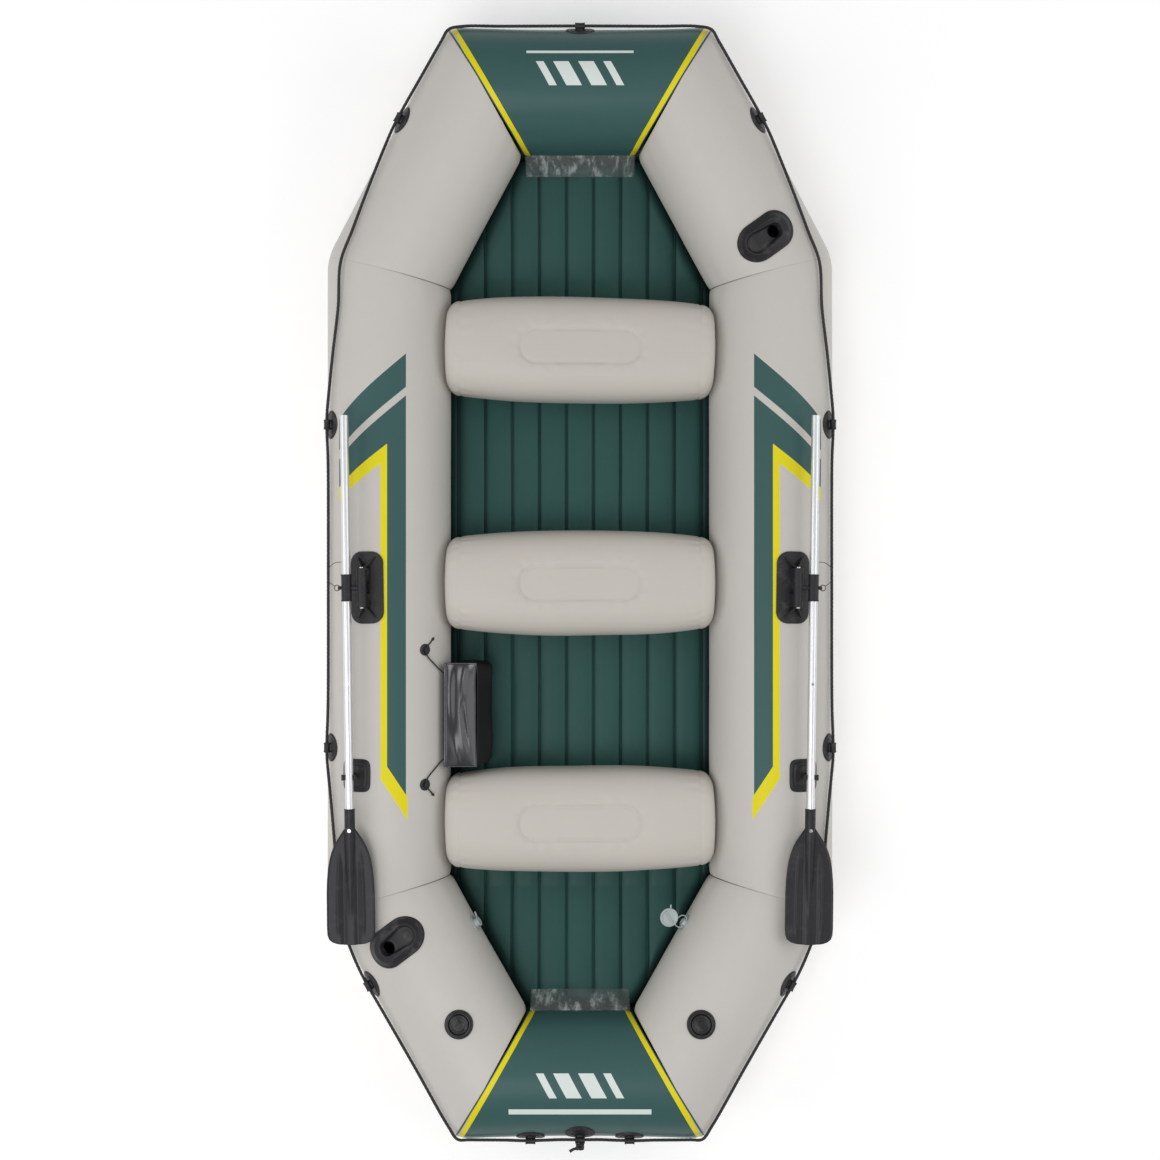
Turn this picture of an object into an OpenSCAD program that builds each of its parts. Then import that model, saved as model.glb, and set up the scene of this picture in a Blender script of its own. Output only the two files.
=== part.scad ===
// Four-person inflatable boat: eight mitred air tubes around an air floor,
// three lift-out seats, two oars on tilting rowlocks, and a grab line.
// +Y is the bow, +X is starboard, and the ground is z = 0.

/* [Hull] */
// Overall length of the hull
hull_l = 3200; // [2900:10:3900]
// Overall width across the side tubes
hull_w = 1480; // [1400:10:1800]
// Diameter of every air tube
tube_d = 360; // [300:5:390]
// Length of the straight side at its outer edge
side_l = 1910; // [1580:10:2300]
// Width of the bow at its outer edge
bow_w = 756; // [700:2:900]
// Width of the stern at its outer edge
stern_w = 716; // [660:2:880]
// Rise of the bow and the stern above the side tubes
end_lift = 85; // [60:5:105]
// Thickness of the hull skin
skin_t = 1.5; // [1:0.1:2.5]
// Clearance between the hull and what is bonded to it
bond_gap = 0.2; // [0.1:0.05:0.4]

/* [Floor] */
// Height of the air floor's underside above the ground
floor_z = 12; // [12:1:20]
// Thickness of the air floor
floor_t = 80; // [60:1:100]
// Distance between the floor's inner beams
beam_pitch = 80.8; // [60:0.1:110]
// Thickness of the floor and seat skins
soft_t = 1.2; // [0.8:0.1:2]
// Thickness of the bottom sheet
sheet_t = 1.5; // [1:0.1:2.5]
// Clearance between the floor and the tubes
floor_gap = 2; // [1.5:0.5:8]

/* [Seats] */
// Width of a seat, fore and aft
seat_w = 305; // [240:1:366]
// Height of a seat's top above the ground
seat_top = 330; // [280:1:340]
// Roundness of a seat's long edges
seat_r = 100; // [60:1:105]
// How far a seat's upper half bulges over the tubes, at each end
seat_bulge = 15; // [5:1:18]
// Distance from the boat's middle to the bow seat's middle
bow_seat_y = 672; // [560:1:700]
// Distance from the boat's middle to the stern seat's middle
stern_seat_y = 688; // [687:1:740]
// Clearance between a seat and the side tubes
seat_gap = 1.5; // [0.5:0.5:10]
// Clearance between a soft piece and what it rests on
rest_gap = 0.5; // [0.3:0.1:0.9]

/* [Rowlocks] */
// Distance of the rowlocks aft of the hull's middle
rowlock_aft = 13; // [0:1:40]
// Lean of the rowlock base away from the top of the tube
rowlock_roll = 15; // [8:1:20]
// Height of the rowlock's barrel above the tube
barrel_h = 38; // [34:1:50]
// Radius of the rowlock's barrel
barrel_r = 13.5; // [12:0.5:16]
// Length of the rowlock base along the tube
rowlock_l = 205; // [180:1:240]
// Width of the rowlock base
rowlock_w = 98; // [85:1:120]
// Radius of the hinge pin
pin_r = 4; // [3:0.5:6]
// Running clearance of a pin in its bore
pin_gap = 0.1; // [0.05:0.05:0.3]
// Length of the turning hub
hub_l = 34; // [28:1:44]
// Distance from the barrel's axis to the oar's axis
stem_l = 43; // [42:1:52]
// Radius of the stem that the oar turns on
stem_r = 5; // [4:0.5:6]

/* [Oars] */
// Toe of the stowed oars: their forward ends stand further out
oar_toe = 0.8; // [0:0.1:1.5]
// Outer radius of the oar's shaft
shaft_r = 12; // [10:0.5:14]
// Wall of the oar's shaft
shaft_t = 1.2; // [1:0.1:2]
// Length of the shaft forward of the rowlock
loom_l = 487; // [400:1:570]
// Distance from the rowlock aft to the joint between the shafts
joint_y = 233; // [190:1:290]
// Distance from the rowlock aft to the blade's socket
socket_y = 624; // [590:1:650]
// Distance from the rowlock aft to the blade's tip
tip_y = 1009; // [970:1:1040]
// Width of the blade
blade_w = 136; // [110:1:142]
// Thickness of the blade
blade_t = 6; // [4:0.5:8]
// Length of the collar that the rowlock carries
collar_l = 76; // [60:1:90]

/* [Oar clasps] */
// Distance aft of the rowlock
clasp_y = 535; // [470:1:580]
// Lean of the clasp's pad away from the top of the tube
clasp_roll = 25.7; // [20:0.1:30]
// Clearance between the shaft and the clasp
clasp_gap = 1.3; // [0.9:0.1:2]

/* [Valves] */
// Radius of the screw valve's flange
valve_r = 40.5; // [36:0.5:48]
// Radius of the screw valve's throat
throat_r = 20; // [16:0.5:23]
// Where the valve lies along the stern quarter tube, from the stern corner
valve_at = 0.29; // [0.2:0.01:0.4]
// Radius of the cockpit valve's flange
drain_r = 25; // [20:0.5:30]

/* [Rod holders] */
// Radius of the rod socket's bore
rod_r = 17.5; // [14:0.5:20]
// Depth of the rod socket below its rim
rod_depth = 130; // [90:5:150]
// Lean of the socket towards the cockpit
rod_lean = 25; // [10:1:35]
// Height of the rod holder's rim above the tube
rod_rim = 24; // [18:1:30]
// Wall of the rod socket
rod_wall = 3; // [2:0.5:4]

/* [Grab line] */
// Radius of the grab line
line_r = 4.5; // [3:0.5:5]
// Radius of a line holder's patch
patch_r = 41; // [34:0.5:48]
// Height of the grab line's middle above the tube at a holder
line_h = 13; // [12:0.5:16]
// Width of a line holder's eye along the line
eye_l = 28; // [20:1:36]

/* [Pouch] */
// Length of the pouch along the boat
pouch_l = 300; // [240:1:304]
// Distance aft of the boat's middle to the pouch's middle
pouch_y = 380; // [360:1:380]
// Height of the pouch's rim above the ground
pouch_top = 284; // [250:1:300]
// Wall of the pouch
pouch_t = 2.5; // [2:0.5:4]
// Thickness of the pouch's flap
flap_t = 3; // [2:0.5:4]
// Radius of the pouch's tie cord
tie_r = 2; // [1:0.5:3]

/* [Hidden] */
$fn = 64;
TUBES = ["port_side_tube", "port_bow_tube", "bow_tube", "starboard_bow_tube",
    "starboard_side_tube", "starboard_stern_tube", "stern_tube", "port_stern_tube"];
PORT_SIDE = 0;
BOW = 2;
STARBOARD_BOW = 3;
STARBOARD_SIDE = 4;
STARBOARD_STERN = 5;
STERN = 6;
PORT_STERN = 7;
SIDES = ["port", "starboard"];
SIDED = ["rod_holder", "rowlock_base", "rowlock_pin", "oar_clasp", "valve_seat",
    "valve_gasket", "valve_cap", "inner_valve", "inner_valve_plug", "oarlock", "lock_ring",
    "oar_collar", "oar_upper_shaft", "oar_lower_shaft", "oar_blade", "oar_pins"];
SEATS = ["bow", "middle", "stern"];

// Colours of the finished pieces
BEIGE = [0.80, 0.78, 0.74];
GREEN = [0.24, 0.35, 0.33];
BLACK = [0.16, 0.16, 0.18];
WHITE = [0.88, 0.90, 0.90];
METAL = [0.86, 0.87, 0.88];

// The hull's middle line: eight corners, clockwise from the port stern shoulder
r = tube_d / 2;
bow_turn = atan2(hull_w - bow_w, hull_l - side_l);
stern_turn = atan2(hull_w - stern_w, hull_l - side_l);
function shoulder(turn, inset) = side_l / 2 - inset * tan(turn / 2);
function end_half(turn, width, inset) = width / 2 - inset * tan((90 - turn) / 2);
mid_x = hull_w / 2 - r;
end_y = hull_l / 2 - r;
bow_x = end_half(bow_turn, bow_w, r);
stern_x = end_half(stern_turn, stern_w, r);
bow_y = shoulder(bow_turn, r);
stern_y = shoulder(stern_turn, r);
end_z = r + end_lift;
CORNERS = [[-mid_x, -stern_y, r], [-mid_x, bow_y, r], [-bow_x, end_y, end_z],
    [bow_x, end_y, end_z], [mid_x, bow_y, r], [mid_x, -stern_y, r],
    [stern_x, -end_y, end_z], [-stern_x, -end_y, end_z]];
function corner(i) = CORNERS[(i + 8) % 8];
function run(i) = corner(i + 1) - corner(i);
function ahead(i) = run(i) / norm(run(i));
function upward(i) = let (u = [0, 0, 1] - ahead(i) * ahead(i)[2]) u / norm(u);
function outward(i) = cross(upward(i), ahead(i));
function on_hull(i, along, roll, rad) =
    corner(i) + along * run(i) + rad * (outward(i) * sin(roll) + upward(i) * cos(roll));

// Moves children to a tube's middle line: X along it, Z straight out of it at that roll
module at_tube(i, along, roll) {
    translate(corner(i) + along * run(i))
        rotate([-roll, -asin(ahead(i)[2]), atan2(ahead(i)[1], ahead(i)[0])])
            children();
}

// A straight round bar on a tube's middle line
module bar(i, rad, extra) {
    at_tube(i, 0, 0)
        rotate([0, 90, 0])
            translate([0, 0, -extra])
                cylinder(r = rad, h = norm(run(i)) + 2 * extra, $fn = 240);
}

// A patch bonded to a tube: children cut to the tube's curve, from lo to hi above its skin
module on_skin(i, lo, hi) {
    difference() {
        intersection() {
            children();
            bar(i, r + hi, 0);
        }
        bar(i, r + lo, 0);
    }
}

// Everything behind the plane through p whose normal is n
module behind(p, n) {
    size = 2.5 * r;
    translate(p)
        rotate([0, acos(n[2] / norm(n)), atan2(n[1], n[0])])
            translate([-size, -size, -size])
                cube([2 * size, 2 * size, size]);
}

// A ring or a plain disc, from z1 to z2
module disc(rad, z1, z2) {
    translate([0, 0, z1])
        cylinder(r = rad, h = z2 - z1);
}

module ring(outer, inner, z1, z2) {
    difference() {
        disc(outer, z1, z2);
        disc(inner, z1 - 1, z2 + 1);
    }
}

// A round bar along X
module x_bar(rad, x1, x2) {
    translate([x1, 0, 0])
        rotate([0, 90, 0])
            cylinder(r = rad, h = x2 - x1);
}

// A round bar along Y
module y_bar(rad, y1, y2) {
    translate([0, y1, 0])
        rotate([-90, 0, 0])
            cylinder(r = rad, h = y2 - y1);
}

// A plate with round corners, standing on z = 0
module round_plate(x, y, rad, h) {
    translate([rad - x / 2, -y / 2, 0])
        cube([x - 2 * rad, y, h]);
    translate([-x / 2, rad - y / 2, 0])
        cube([x, y - 2 * rad, h]);
    for (sx = [-1, 1], sy = [-1, 1])
        translate([sx * (x / 2 - rad), sy * (y / 2 - rad), 0])
            cylinder(r = rad, h = h);
}

// ---- Hull tubes ----

rod_tubes = [PORT_STERN, STARBOARD_BOW];
rod_along = [0.764, 0.818];
rod_roll = [8, 3];
rod_twist = 6;
drain_along = 0.655;
drain_roll = -80;
drain_neck = 10;
valve_roll = -6;
neck_r = throat_r + 4;

// The rod socket's axis, from the middle of a holder: Z runs out of the socket's mouth
module at_socket() {
    translate([0, 22, r + 4])
        rotate([rod_lean, 0, 0])
            children();
}

module at_rod(s) {
    at_tube(rod_tubes[s], rod_along[s], rod_roll[s])
        rotate([0, 0, rod_twist])
            children();
}

module at_valve(s) {
    i = s == 0 ? PORT_STERN : STARBOARD_STERN;
    at_tube(i, s == 0 ? valve_at : 1 - valve_at, valve_roll)
        children();
}

module at_drain(s) {
    i = s == 0 ? PORT_STERN : STARBOARD_STERN;
    at_tube(i, s == 0 ? drain_along : 1 - drain_along, drain_roll)
        children();
}

module hull_tube(i) {
    difference() {
        bar(i, r, r);
        bar(i, r - skin_t, r + 5);
        behind(corner(i), ahead(i - 1) + ahead(i));
        behind(corner(i + 1), -ahead(i) - ahead(i + 1));
        for (s = [0, 1]) {
            if (i == rod_tubes[s])
                at_rod(s) at_socket() disc(rod_r + rod_wall + bond_gap, -rod_depth, rod_rim);
            if (i == (s == 0 ? PORT_STERN : STARBOARD_STERN)) {
                at_valve(s) disc(neck_r + bond_gap, r - 30, r + 5);
                at_drain(s) disc(drain_neck + bond_gap, r - 30, r + 5);
            }
        }
    }
}

// Diaphragms that split the hull into a port and a starboard air chamber
module air_baffles() {
    color(BEIGE)
        for (i = [BOW, STERN])
            at_tube(i, 0.5, 0)
                rotate([0, 90, 0])
                    disc(r - skin_t - bond_gap, -skin_t / 2, skin_t / 2);
}

// ---- Bottom and floor ----

// How far the bottom has risen at a place along the boat
function bend(y) =
    y > bow_y ? (y - bow_y) * end_lift / (end_y - bow_y)
    : y < -stern_y ? (-y - stern_y) * end_lift / (end_y - stern_y) : 0;

// A slab across the boat that bends up at both ends
module bent_slab(z1, z2) {
    ys = [-end_y, -stern_y, bow_y, end_y];
    low = [for (y = ys) [y, z1 + bend(y)]];
    high = [for (k = [3:-1:0]) [ys[k], z2 + bend(ys[k])]];
    rotate([90, 0, 90])
        linear_extrude(hull_w, center = true)
            polygon(concat(low, high));
}

// The hull's plan, moved in from its outer edge
module plan_prism(inset) {
    x = hull_w / 2 - inset;
    y = hull_l / 2 - inset;
    b = end_half(bow_turn, bow_w, inset);
    t = end_half(stern_turn, stern_w, inset);
    by = shoulder(bow_turn, inset);
    ty = shoulder(stern_turn, inset);
    linear_extrude(2 * tube_d)
        polygon([[x, -ty], [x, by], [b, y], [-b, y], [-x, by], [-x, -ty], [-t, -y], [t, -y]]);
}

floor_top = floor_z + floor_t;
floor_inset = r + sqrt(r * r - pow(r - floor_top, 2)) + floor_gap;

// How far the cuts run on past the corners, so that no sliver of the sheet is left there
corner_past = 60;

module hull_bottom() {
    color(GREEN)
        difference() {
            intersection() {
                bent_slab(floor_z - rest_gap - sheet_t, floor_z - rest_gap);
                plan_prism(r);
            }
            for (i = [0:7])
                bar(i, r + bond_gap, corner_past);
        }
}

module floor_core() {
    intersection() {
        bent_slab(floor_z + soft_t, floor_top - soft_t);
        plan_prism(floor_inset + soft_t);
    }
}

module air_floor() {
    color(GREEN)
        difference() {
            intersection() {
                bent_slab(floor_z, floor_top);
                plan_prism(floor_inset);
            }
            floor_core();
        }
}

// Upright webs that hold the floor's two skins together
beam_end_gap = 20;
beam_pairs = floor((hull_w / 2 - floor_inset) / beam_pitch + 0.4);

module floor_beams() {
    color(GREEN)
        for (k = [1:beam_pairs], side = [-1, 1])
            intersection() {
                bent_slab(floor_z + soft_t, floor_top - soft_t);
                plan_prism(floor_inset + beam_end_gap);
                translate([side * (k - 0.5) * beam_pitch - soft_t / 2, -end_y, 0])
                    cube([soft_t, 2 * end_y, tube_d]);
            }
}

// Clear films that close the gap between the end tubes and the floor
film_drop = 5;
film_reach = 38;
film_t = 1.2;

module splash_film(turn, width) {
    y1 = end_y - (r + bond_gap) * cos(film_drop);
    z1 = end_z - (r + bond_gap) * sin(film_drop);
    y2 = y1 - film_reach;
    z2 = floor_top + bend(y2) + rest_gap;
    half = end_half(turn, width, tube_d) - 8;
    rotate([90, 0, 90])
        linear_extrude(2 * half, center = true)
            polygon([[y1, z1], [y2, z2], [y2 - film_t, z2 + film_t], [y1 - film_t, z1]]);
}

module splash_films() {
    color(WHITE) {
        splash_film(bow_turn, bow_w);
        mirror([0, 1, 0])
            splash_film(stern_turn, stern_w);
    }
}

// ---- Grab line ----

patch_t = 2;
HOLDERS = [[0, 0.237], [0, 0.752], [1, 0.682], [2, 0.5], [3, 0.318],
    [4, 0.248], [4, 0.763], [5, 0.343], [6, 0.224], [6, 0.776], [7, 0.657]];
line_roll = 63;
tow_roll = 52;
tow_offset = 22;
eye_bore = line_r + 2;
eye_r = eye_bore + 2.5;

// A round patch on the hull, with an eye that the line runs through
module line_eye(i, along, roll, offset, rad) {
    difference() {
        union() {
            on_skin(i, bond_gap, bond_gap + patch_t)
                at_tube(i, along, roll) disc(rad, r - 20, r + 10);
            at_tube(i, along, roll)
                translate([0, offset, r + line_h]) {
                    x_bar(eye_r, -eye_l / 2, eye_l / 2);
                    translate([-eye_l / 2, -eye_r, 1.5 - line_h])
                        cube([eye_l, 2 * eye_r, line_h - 1.5]);
                }
        }
        bar(i, r + bond_gap, 0);
        at_tube(i, along, roll)
            translate([0, offset, r + line_h])
                x_bar(eye_bore, -eye_l, eye_l);
    }
}

module rope_holders() {
    color(BLACK)
        for (h = HOLDERS)
            line_eye(h[0], h[1], line_roll, 0, patch_r);
}

// The larger fitting at the stern, where the line is knotted
module tow_fitting() {
    color(BLACK)
        line_eye(STERN, 0.5, tow_roll, tow_offset, patch_r + 2);
}

// The line's route: tube, share of the way between its mitres, roll and height
tow_line_rad = norm([tow_offset, r + line_h]);
tow_line_roll = tow_roll + atan2(tow_offset, r + line_h);
LINE_ROUTE = [
    [6, 0.505, tow_line_roll, tow_line_rad - r], [6, 0.53, tow_line_roll, tow_line_rad - r],
    [6, 0.58, 60, 13], [6, 0.66, 63, 13], [6, 0.73, 63, 13], [6, 0.8, 62.5, 11],
    [6, 0.95, 61, 11], [6, 1, 60, 12.5], [7, 0.05, 61, 10], [7, 0.3, 62, 9],
    [7, 0.6, 63, 12], [7, 0.64, 63, 13], [7, 0.69, 63, 13], [7, 0.76, 61, 12],
    [7, 0.88, 54, 11], [7, 0.96, 48, 11], [7, 1, 46, 12], [0, 0.025, 46, 11],
    [0, 0.08, 48, 10], [0, 0.15, 54, 10], [0, 0.21, 61, 11], [0, 0.235, 63, 13],
    [0, 0.265, 63, 13], [0, 0.31, 63, 10], [0, 0.5, 63, 9], [0, 0.69, 63, 10],
    [0, 0.725, 63, 13], [0, 0.755, 63, 13], [0, 0.79, 59.5, 11.5], [0, 0.85, 52.5, 10],
    [0, 0.92, 44.8, 10], [0, 0.975, 38.7, 11], [1, 0, 36, 12], [1, 0.04, 38, 11],
    [1, 0.14, 43, 10.5], [1, 0.3, 50.5, 10], [1, 0.45, 58, 11.5], [1, 0.56, 63, 13],
    [1, 0.65, 63, 13],
    [1, 0.8, 61, 11], [1, 0.95, 60, 10], [1, 1, 60, 12.5], [2, 0.05, 61, 11],
    [2, 0.2, 63, 10], [2, 0.46, 63, 13], [2, 0.5, 63, 13]];

// How far a line beside the tube's middle runs on past its corner, to the mitre
function past(i, j, side) = side * tan(acos(ahead(i - 1) * ahead(i)) / 2) / norm(run(j));
function line_point(p) = let (rad = r + p[3], side = rad * sin(p[2]),
    start = -past(p[0], p[0], side), end = 1 + past(p[0] + 1, p[0], side))
    on_hull(p[0], start + p[1] * (end - start), p[2], rad);
// The starboard half follows the same route on the mirrored tubes
function other_side(p) = [(12 - p[0]) % 8, 1 - p[1], p[2], p[3]];
LINE_POINTS = concat(
    [for (p = LINE_ROUTE) line_point(p)],
    [for (k = [len(LINE_ROUTE) - 2:-1:0]) line_point(other_side(LINE_ROUTE[k]))]);

// A tube swept along points, as one closed solid with n sides
module swept(points, rad, n) {
    last = len(points) - 1;
    way = [for (k = [0:last]) points[min(k + 1, last)] - points[max(k - 1, 0)]];
    rings = [for (k = [0:last])
        let (d = way[k] / norm(way[k]),
            a = cross(d, abs(d[2]) < 0.9 ? [0, 0, 1] : [1, 0, 0]),
            u = a / norm(a), v = cross(d, u))
        for (j = [0:n - 1]) points[k] + rad * (u * cos(360 * j / n) + v * sin(360 * j / n))];
    sides = [for (k = [0:last - 1], j = [0:n - 1])
        let (a = k * n + j, b = k * n + (j + 1) % n)
        each [[a, a + n, b], [b, a + n, b + n]]];
    caps = [[for (j = [0:n - 1]) j], [for (j = [n - 1:-1:0]) last * n + j]];
    polyhedron(rings, concat(sides, caps));
}

module grab_line() {
    color(BLACK)
        swept(LINE_POINTS, line_r, 8);
}

// The knot below the tow fitting's eye, with one short tail
knot_r = 10;

module grab_line_knot() {
    color(BLACK)
        at_tube(STERN, 0.5, tow_line_roll)
            translate([0, 0, tow_line_rad + eye_r + 0.3 + knot_r]) {
                sphere(r = knot_r);
                rotate([0, 65, 0])
                    cylinder(r = line_r, h = 32);
            }
}

// ---- Rod holders ----

module rod_holder(s) {
    color(BLACK)
        difference() {
            union() {
                difference() {
                    union() {
                        intersection() {
                            at_rod(s) translate([0, 0, r - 40]) round_plate(112, 172, 55, 90);
                            bar(rod_tubes[s], r + bond_gap + 3, 0);
                        }
                        intersection() {
                            at_rod(s) translate([0, 4, r - 30]) round_plate(84, 138, 41, 90);
                            bar(rod_tubes[s], r + rod_rim, 0);
                        }
                    }
                    bar(rod_tubes[s], r + bond_gap, 0);
                    at_rod(s)
                        translate([0, 22, r + rod_rim + 4])
                            rotate([-10, 0, 0])
                                y_bar(rod_r + 3, -120, 0);
                }
                intersection() {
                    at_rod(s) at_socket() disc(rod_r + rod_wall, -rod_depth, 60);
                    bar(rod_tubes[s], r + 12, 0);
                }
            }
            at_rod(s) at_socket() disc(rod_r, rod_wall - rod_depth, 80);
        }
}

// ---- Rowlocks and oars, drawn to starboard and mirrored to port ----

barrel_x = mid_x + (r + barrel_h) * sin(rowlock_roll);
barrel_z = r + (r + barrel_h) * cos(rowlock_roll);
bearing_l = 38;
side_gap = 0.3;

module on_side(s) {
    mirror([s == 0 ? 1 : 0, 0, 0])
        children();
}

// Origin on the barrel's axis, with Y along the oar and X out along the stem
module at_rowlock() {
    translate([barrel_x, -rowlock_aft, barrel_z])
        rotate([0, 0, -oar_toe])
            children();
}

module rowlock_base() {
    difference() {
        union() {
            intersection() {
                at_rowlock() rotate([0, rowlock_roll, 0])
                    translate([0, 0, -barrel_h - 30])
                        rotate([0, 0, 90])
                            round_plate(rowlock_l, rowlock_w, 34, 60);
                bar(STARBOARD_SIDE, r + bond_gap + 4, 0);
            }
            at_rowlock() rotate([0, rowlock_roll, 0])
                for (side = [-1, 1]) {
                    y1 = hub_l / 2 + side_gap;
                    mirror([0, side < 0 ? 1 : 0, 0]) {
                        y_bar(barrel_r, y1, y1 + bearing_l);
                        translate([-barrel_r, y1, -barrel_h - 3])
                            cube([2 * barrel_r, bearing_l, barrel_h + 3]);
                        for (lean = [-1, 1])
                            translate([0, y1 + bearing_l - 4, -barrel_h - 3])
                                rotate([90, 0, 90 + lean * 38])
                                    translate([0, 0, -2.5])
                                        linear_extrude(5)
                                            polygon([[0, 0], [46, 0], [46, 5], [8, 32], [0, 32]]);
                    }
                }
        }
        bar(STARBOARD_SIDE, r + bond_gap, 0);
        at_rowlock()
            y_bar(pin_r + pin_gap, -rowlock_l, rowlock_l);
    }
}

module rowlock_pin() {
    end = hub_l / 2 + side_gap + bearing_l;
    at_rowlock() {
        y_bar(pin_r, -end - 1, end + 1);
        y_bar(pin_r + 2, end + 1, end + 3);
        y_bar(pin_r + 2, -end - 3, -end - 1);
    }
}

// The hub that turns on the pin, with the stem that the oar turns on
collar_r = shaft_r + 2.5;
stem_end = stem_l + collar_r + 9;
ring_hole = 2.2;

module oarlock() {
    at_rowlock()
        difference() {
            union() {
                y_bar(barrel_r, -hub_l / 2, hub_l / 2);
                x_bar(stem_r + 3, 0, stem_l - collar_r - 0.5);
                x_bar(stem_r, 0, stem_end);
            }
            y_bar(pin_r + pin_gap, -hub_l, hub_l);
            translate([stem_end - 4.5, 0, 0])
                y_bar(ring_hole, -10, 10);
        }
}

// The wire ring through the stem's end, and its leash
module lock_ring() {
    wire = 1.2;
    ring_r = 8;
    loop_r = 35;
    at_rowlock() {
        translate([stem_end - 4.5 + ring_r - 0.9, 0, 0])
            rotate_extrude()
                translate([ring_r, 0])
                    circle(r = wire);
        translate([stem_end - 4.5, loop_r + 3, 0])
            rotate([0, 0, -70])
                rotate_extrude(angle = 167)
                    translate([loop_r, 0])
                        circle(r = 0.9);
    }
}

// The hole through the oar that the stem passes
module stem_hole() {
    x_bar(stem_r + 2 * pin_gap, -30, 30);
}

module at_oar() {
    at_rowlock()
        translate([stem_l, 0, 0])
            children();
}

module oar_collar() {
    at_oar()
        difference() {
            union() {
                y_bar(collar_r, -collar_l / 2, collar_l / 2);
                for (side = [-1, 1])
                    translate([0, side * (collar_l / 2 - 1.5), 0])
                        y_bar(collar_r + 1.5, -1.5, 1.5);
            }
            y_bar(shaft_r + pin_gap, -collar_l, collar_l);
            stem_hole();
        }
}

spigot_r = shaft_r - shaft_t - pin_gap;
spigot_l = 60;
button_y = joint_y + 38;

module oar_upper_shaft() {
    at_oar()
        difference() {
            union() {
                y_bar(shaft_r, -joint_y, loom_l);
                y_bar(spigot_r, -joint_y - spigot_l, -joint_y + 10);
            }
            y_bar(shaft_r - shaft_t, -joint_y + 10, loom_l + 1);
            y_bar(spigot_r - shaft_t, -joint_y - spigot_l - 1, -joint_y + 11);
            stem_hole();
            translate([0, -button_y, 0])
                disc(4.1, 0, 20);
        }
}

blade_socket_d = 110;

module oar_lower_shaft() {
    at_oar()
        difference() {
            y_bar(shaft_r, -socket_y - blade_socket_d, -joint_y - 0.2);
            y_bar(shaft_r - shaft_t, -socket_y - blade_socket_d - 1, -joint_y + 1);
            translate([0, -button_y, 0])
                disc(4.1, 0, 20);
            translate([0, -socket_y - 60, 0])
                disc(3.1, -30, 30);
        }
}

// Half of the blade's outline, as distance aft of its socket and share of its width
blade_l = tip_y - socket_y;
BLADE_HALF = [[0.14, 0.13], [0.17, 0.5], [0.26, 0.64], [0.36, 0.88], [0.42, 0.95],
    [0.52, 1], [0.93, 1], [0.975, 0.9], [0.995, 0.6], [1, 0.2]];

module oar_blade() {
    half = blade_w / 2;
    stock_r = shaft_r + 3;
    at_oar()
        difference() {
            union() {
                y_bar(stock_r, -socket_y - blade_socket_d - 8, -socket_y);
                translate([0, -socket_y - blade_socket_d - 8, 0])
                    rotate([90, 0, 0])
                        cylinder(r1 = stock_r, r2 = 4, h = 150);
                translate([0, -socket_y, -blade_t / 2])
                    linear_extrude(blade_t)
                        polygon(concat(
                            [for (p = BLADE_HALF) [p[1] * half, -p[0] * blade_l]],
                            [for (k = [len(BLADE_HALF) - 1:-1:0])
                                [-BLADE_HALF[k][1] * half, -BLADE_HALF[k][0] * blade_l]]));
            }
            y_bar(shaft_r + pin_gap, -socket_y - blade_socket_d - 0.2, -socket_y + 1);
            translate([0, -socket_y - 60, 0])
                disc(3.1, -30, 30);
        }
}

// The snap button of the joint, and the rivet that holds the blade
module oar_pins() {
    at_oar() {
        translate([0, -button_y, 0])
            disc(4, 7, shaft_r + 2);
        translate([0, -socket_y - 60, 0]) {
            disc(3, -shaft_r - 3.2, shaft_r + 3.2);
            disc(5, shaft_r + 3.2, shaft_r + 4.4);
        }
    }
}

// ---- Oar clasps ----

module oar_clasp() {
    inner = shaft_r + clasp_gap;
    arm = 4;
    w = 14;
    x = mid_x + r * sin(clasp_roll);
    difference() {
        union() {
            intersection() {
                translate([x, -rowlock_aft - clasp_y, r + r * cos(clasp_roll)])
                    rotate([0, clasp_roll, 0])
                        translate([0, 0, -30])
                            round_plate(90, 94, 24, 50);
                bar(STARBOARD_SIDE, r + bond_gap + 3, 0);
            }
            at_oar() translate([0, -clasp_y, 0]) {
                y_bar(inner + arm, -w / 2, w / 2);
                translate([-inner - arm, -w / 2, 0])
                    cube([2 * (inner + arm), w, 4]);
                translate([-9, -w / 2, -70])
                    cube([18, w, 60]);
                for (side = [-1, 1])
                    translate([side * (inner + arm), 0, 4])
                        y_bar(arm, -w / 2, w / 2);
            }
        }
        bar(STARBOARD_SIDE, r + bond_gap, 0);
        at_oar() translate([0, -clasp_y, 0]) {
            y_bar(inner, -w, w);
            translate([-inner, -w, 0])
                cube([2 * inner, 2 * w, 40]);
            translate([-30, -w, 8])
                cube([60, 2 * w, 30]);
        }
    }
}

// ---- Valves ----

rim_h = 9;
seat_h = 3;
cap_r = throat_r + 7;

module valve_seat(s) {
    i = s == 0 ? PORT_STERN : STARBOARD_STERN;
    difference() {
        union() {
            difference() {
                union() {
                    intersection() {
                        at_valve(s) disc(valve_r, r - 20, r + 20);
                        bar(i, r + bond_gap + 2.5, 0);
                    }
                    at_valve(s) ring(cap_r + 6, cap_r + 0.5, r - 6, r + rim_h);
                    at_valve(s) disc(cap_r + 1, r - 6, r + seat_h);
                }
                bar(i, r + bond_gap, 0);
            }
            at_valve(s) disc(neck_r, r - 25, r + 1);
        }
        at_valve(s) disc(throat_r, r - 40, r + 40);
    }
}

module valve_gasket(s) {
    at_valve(s)
        ring(cap_r - 0.5, throat_r + 0.5, r + seat_h + 0.1, r + seat_h + 2.1);
}

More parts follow.
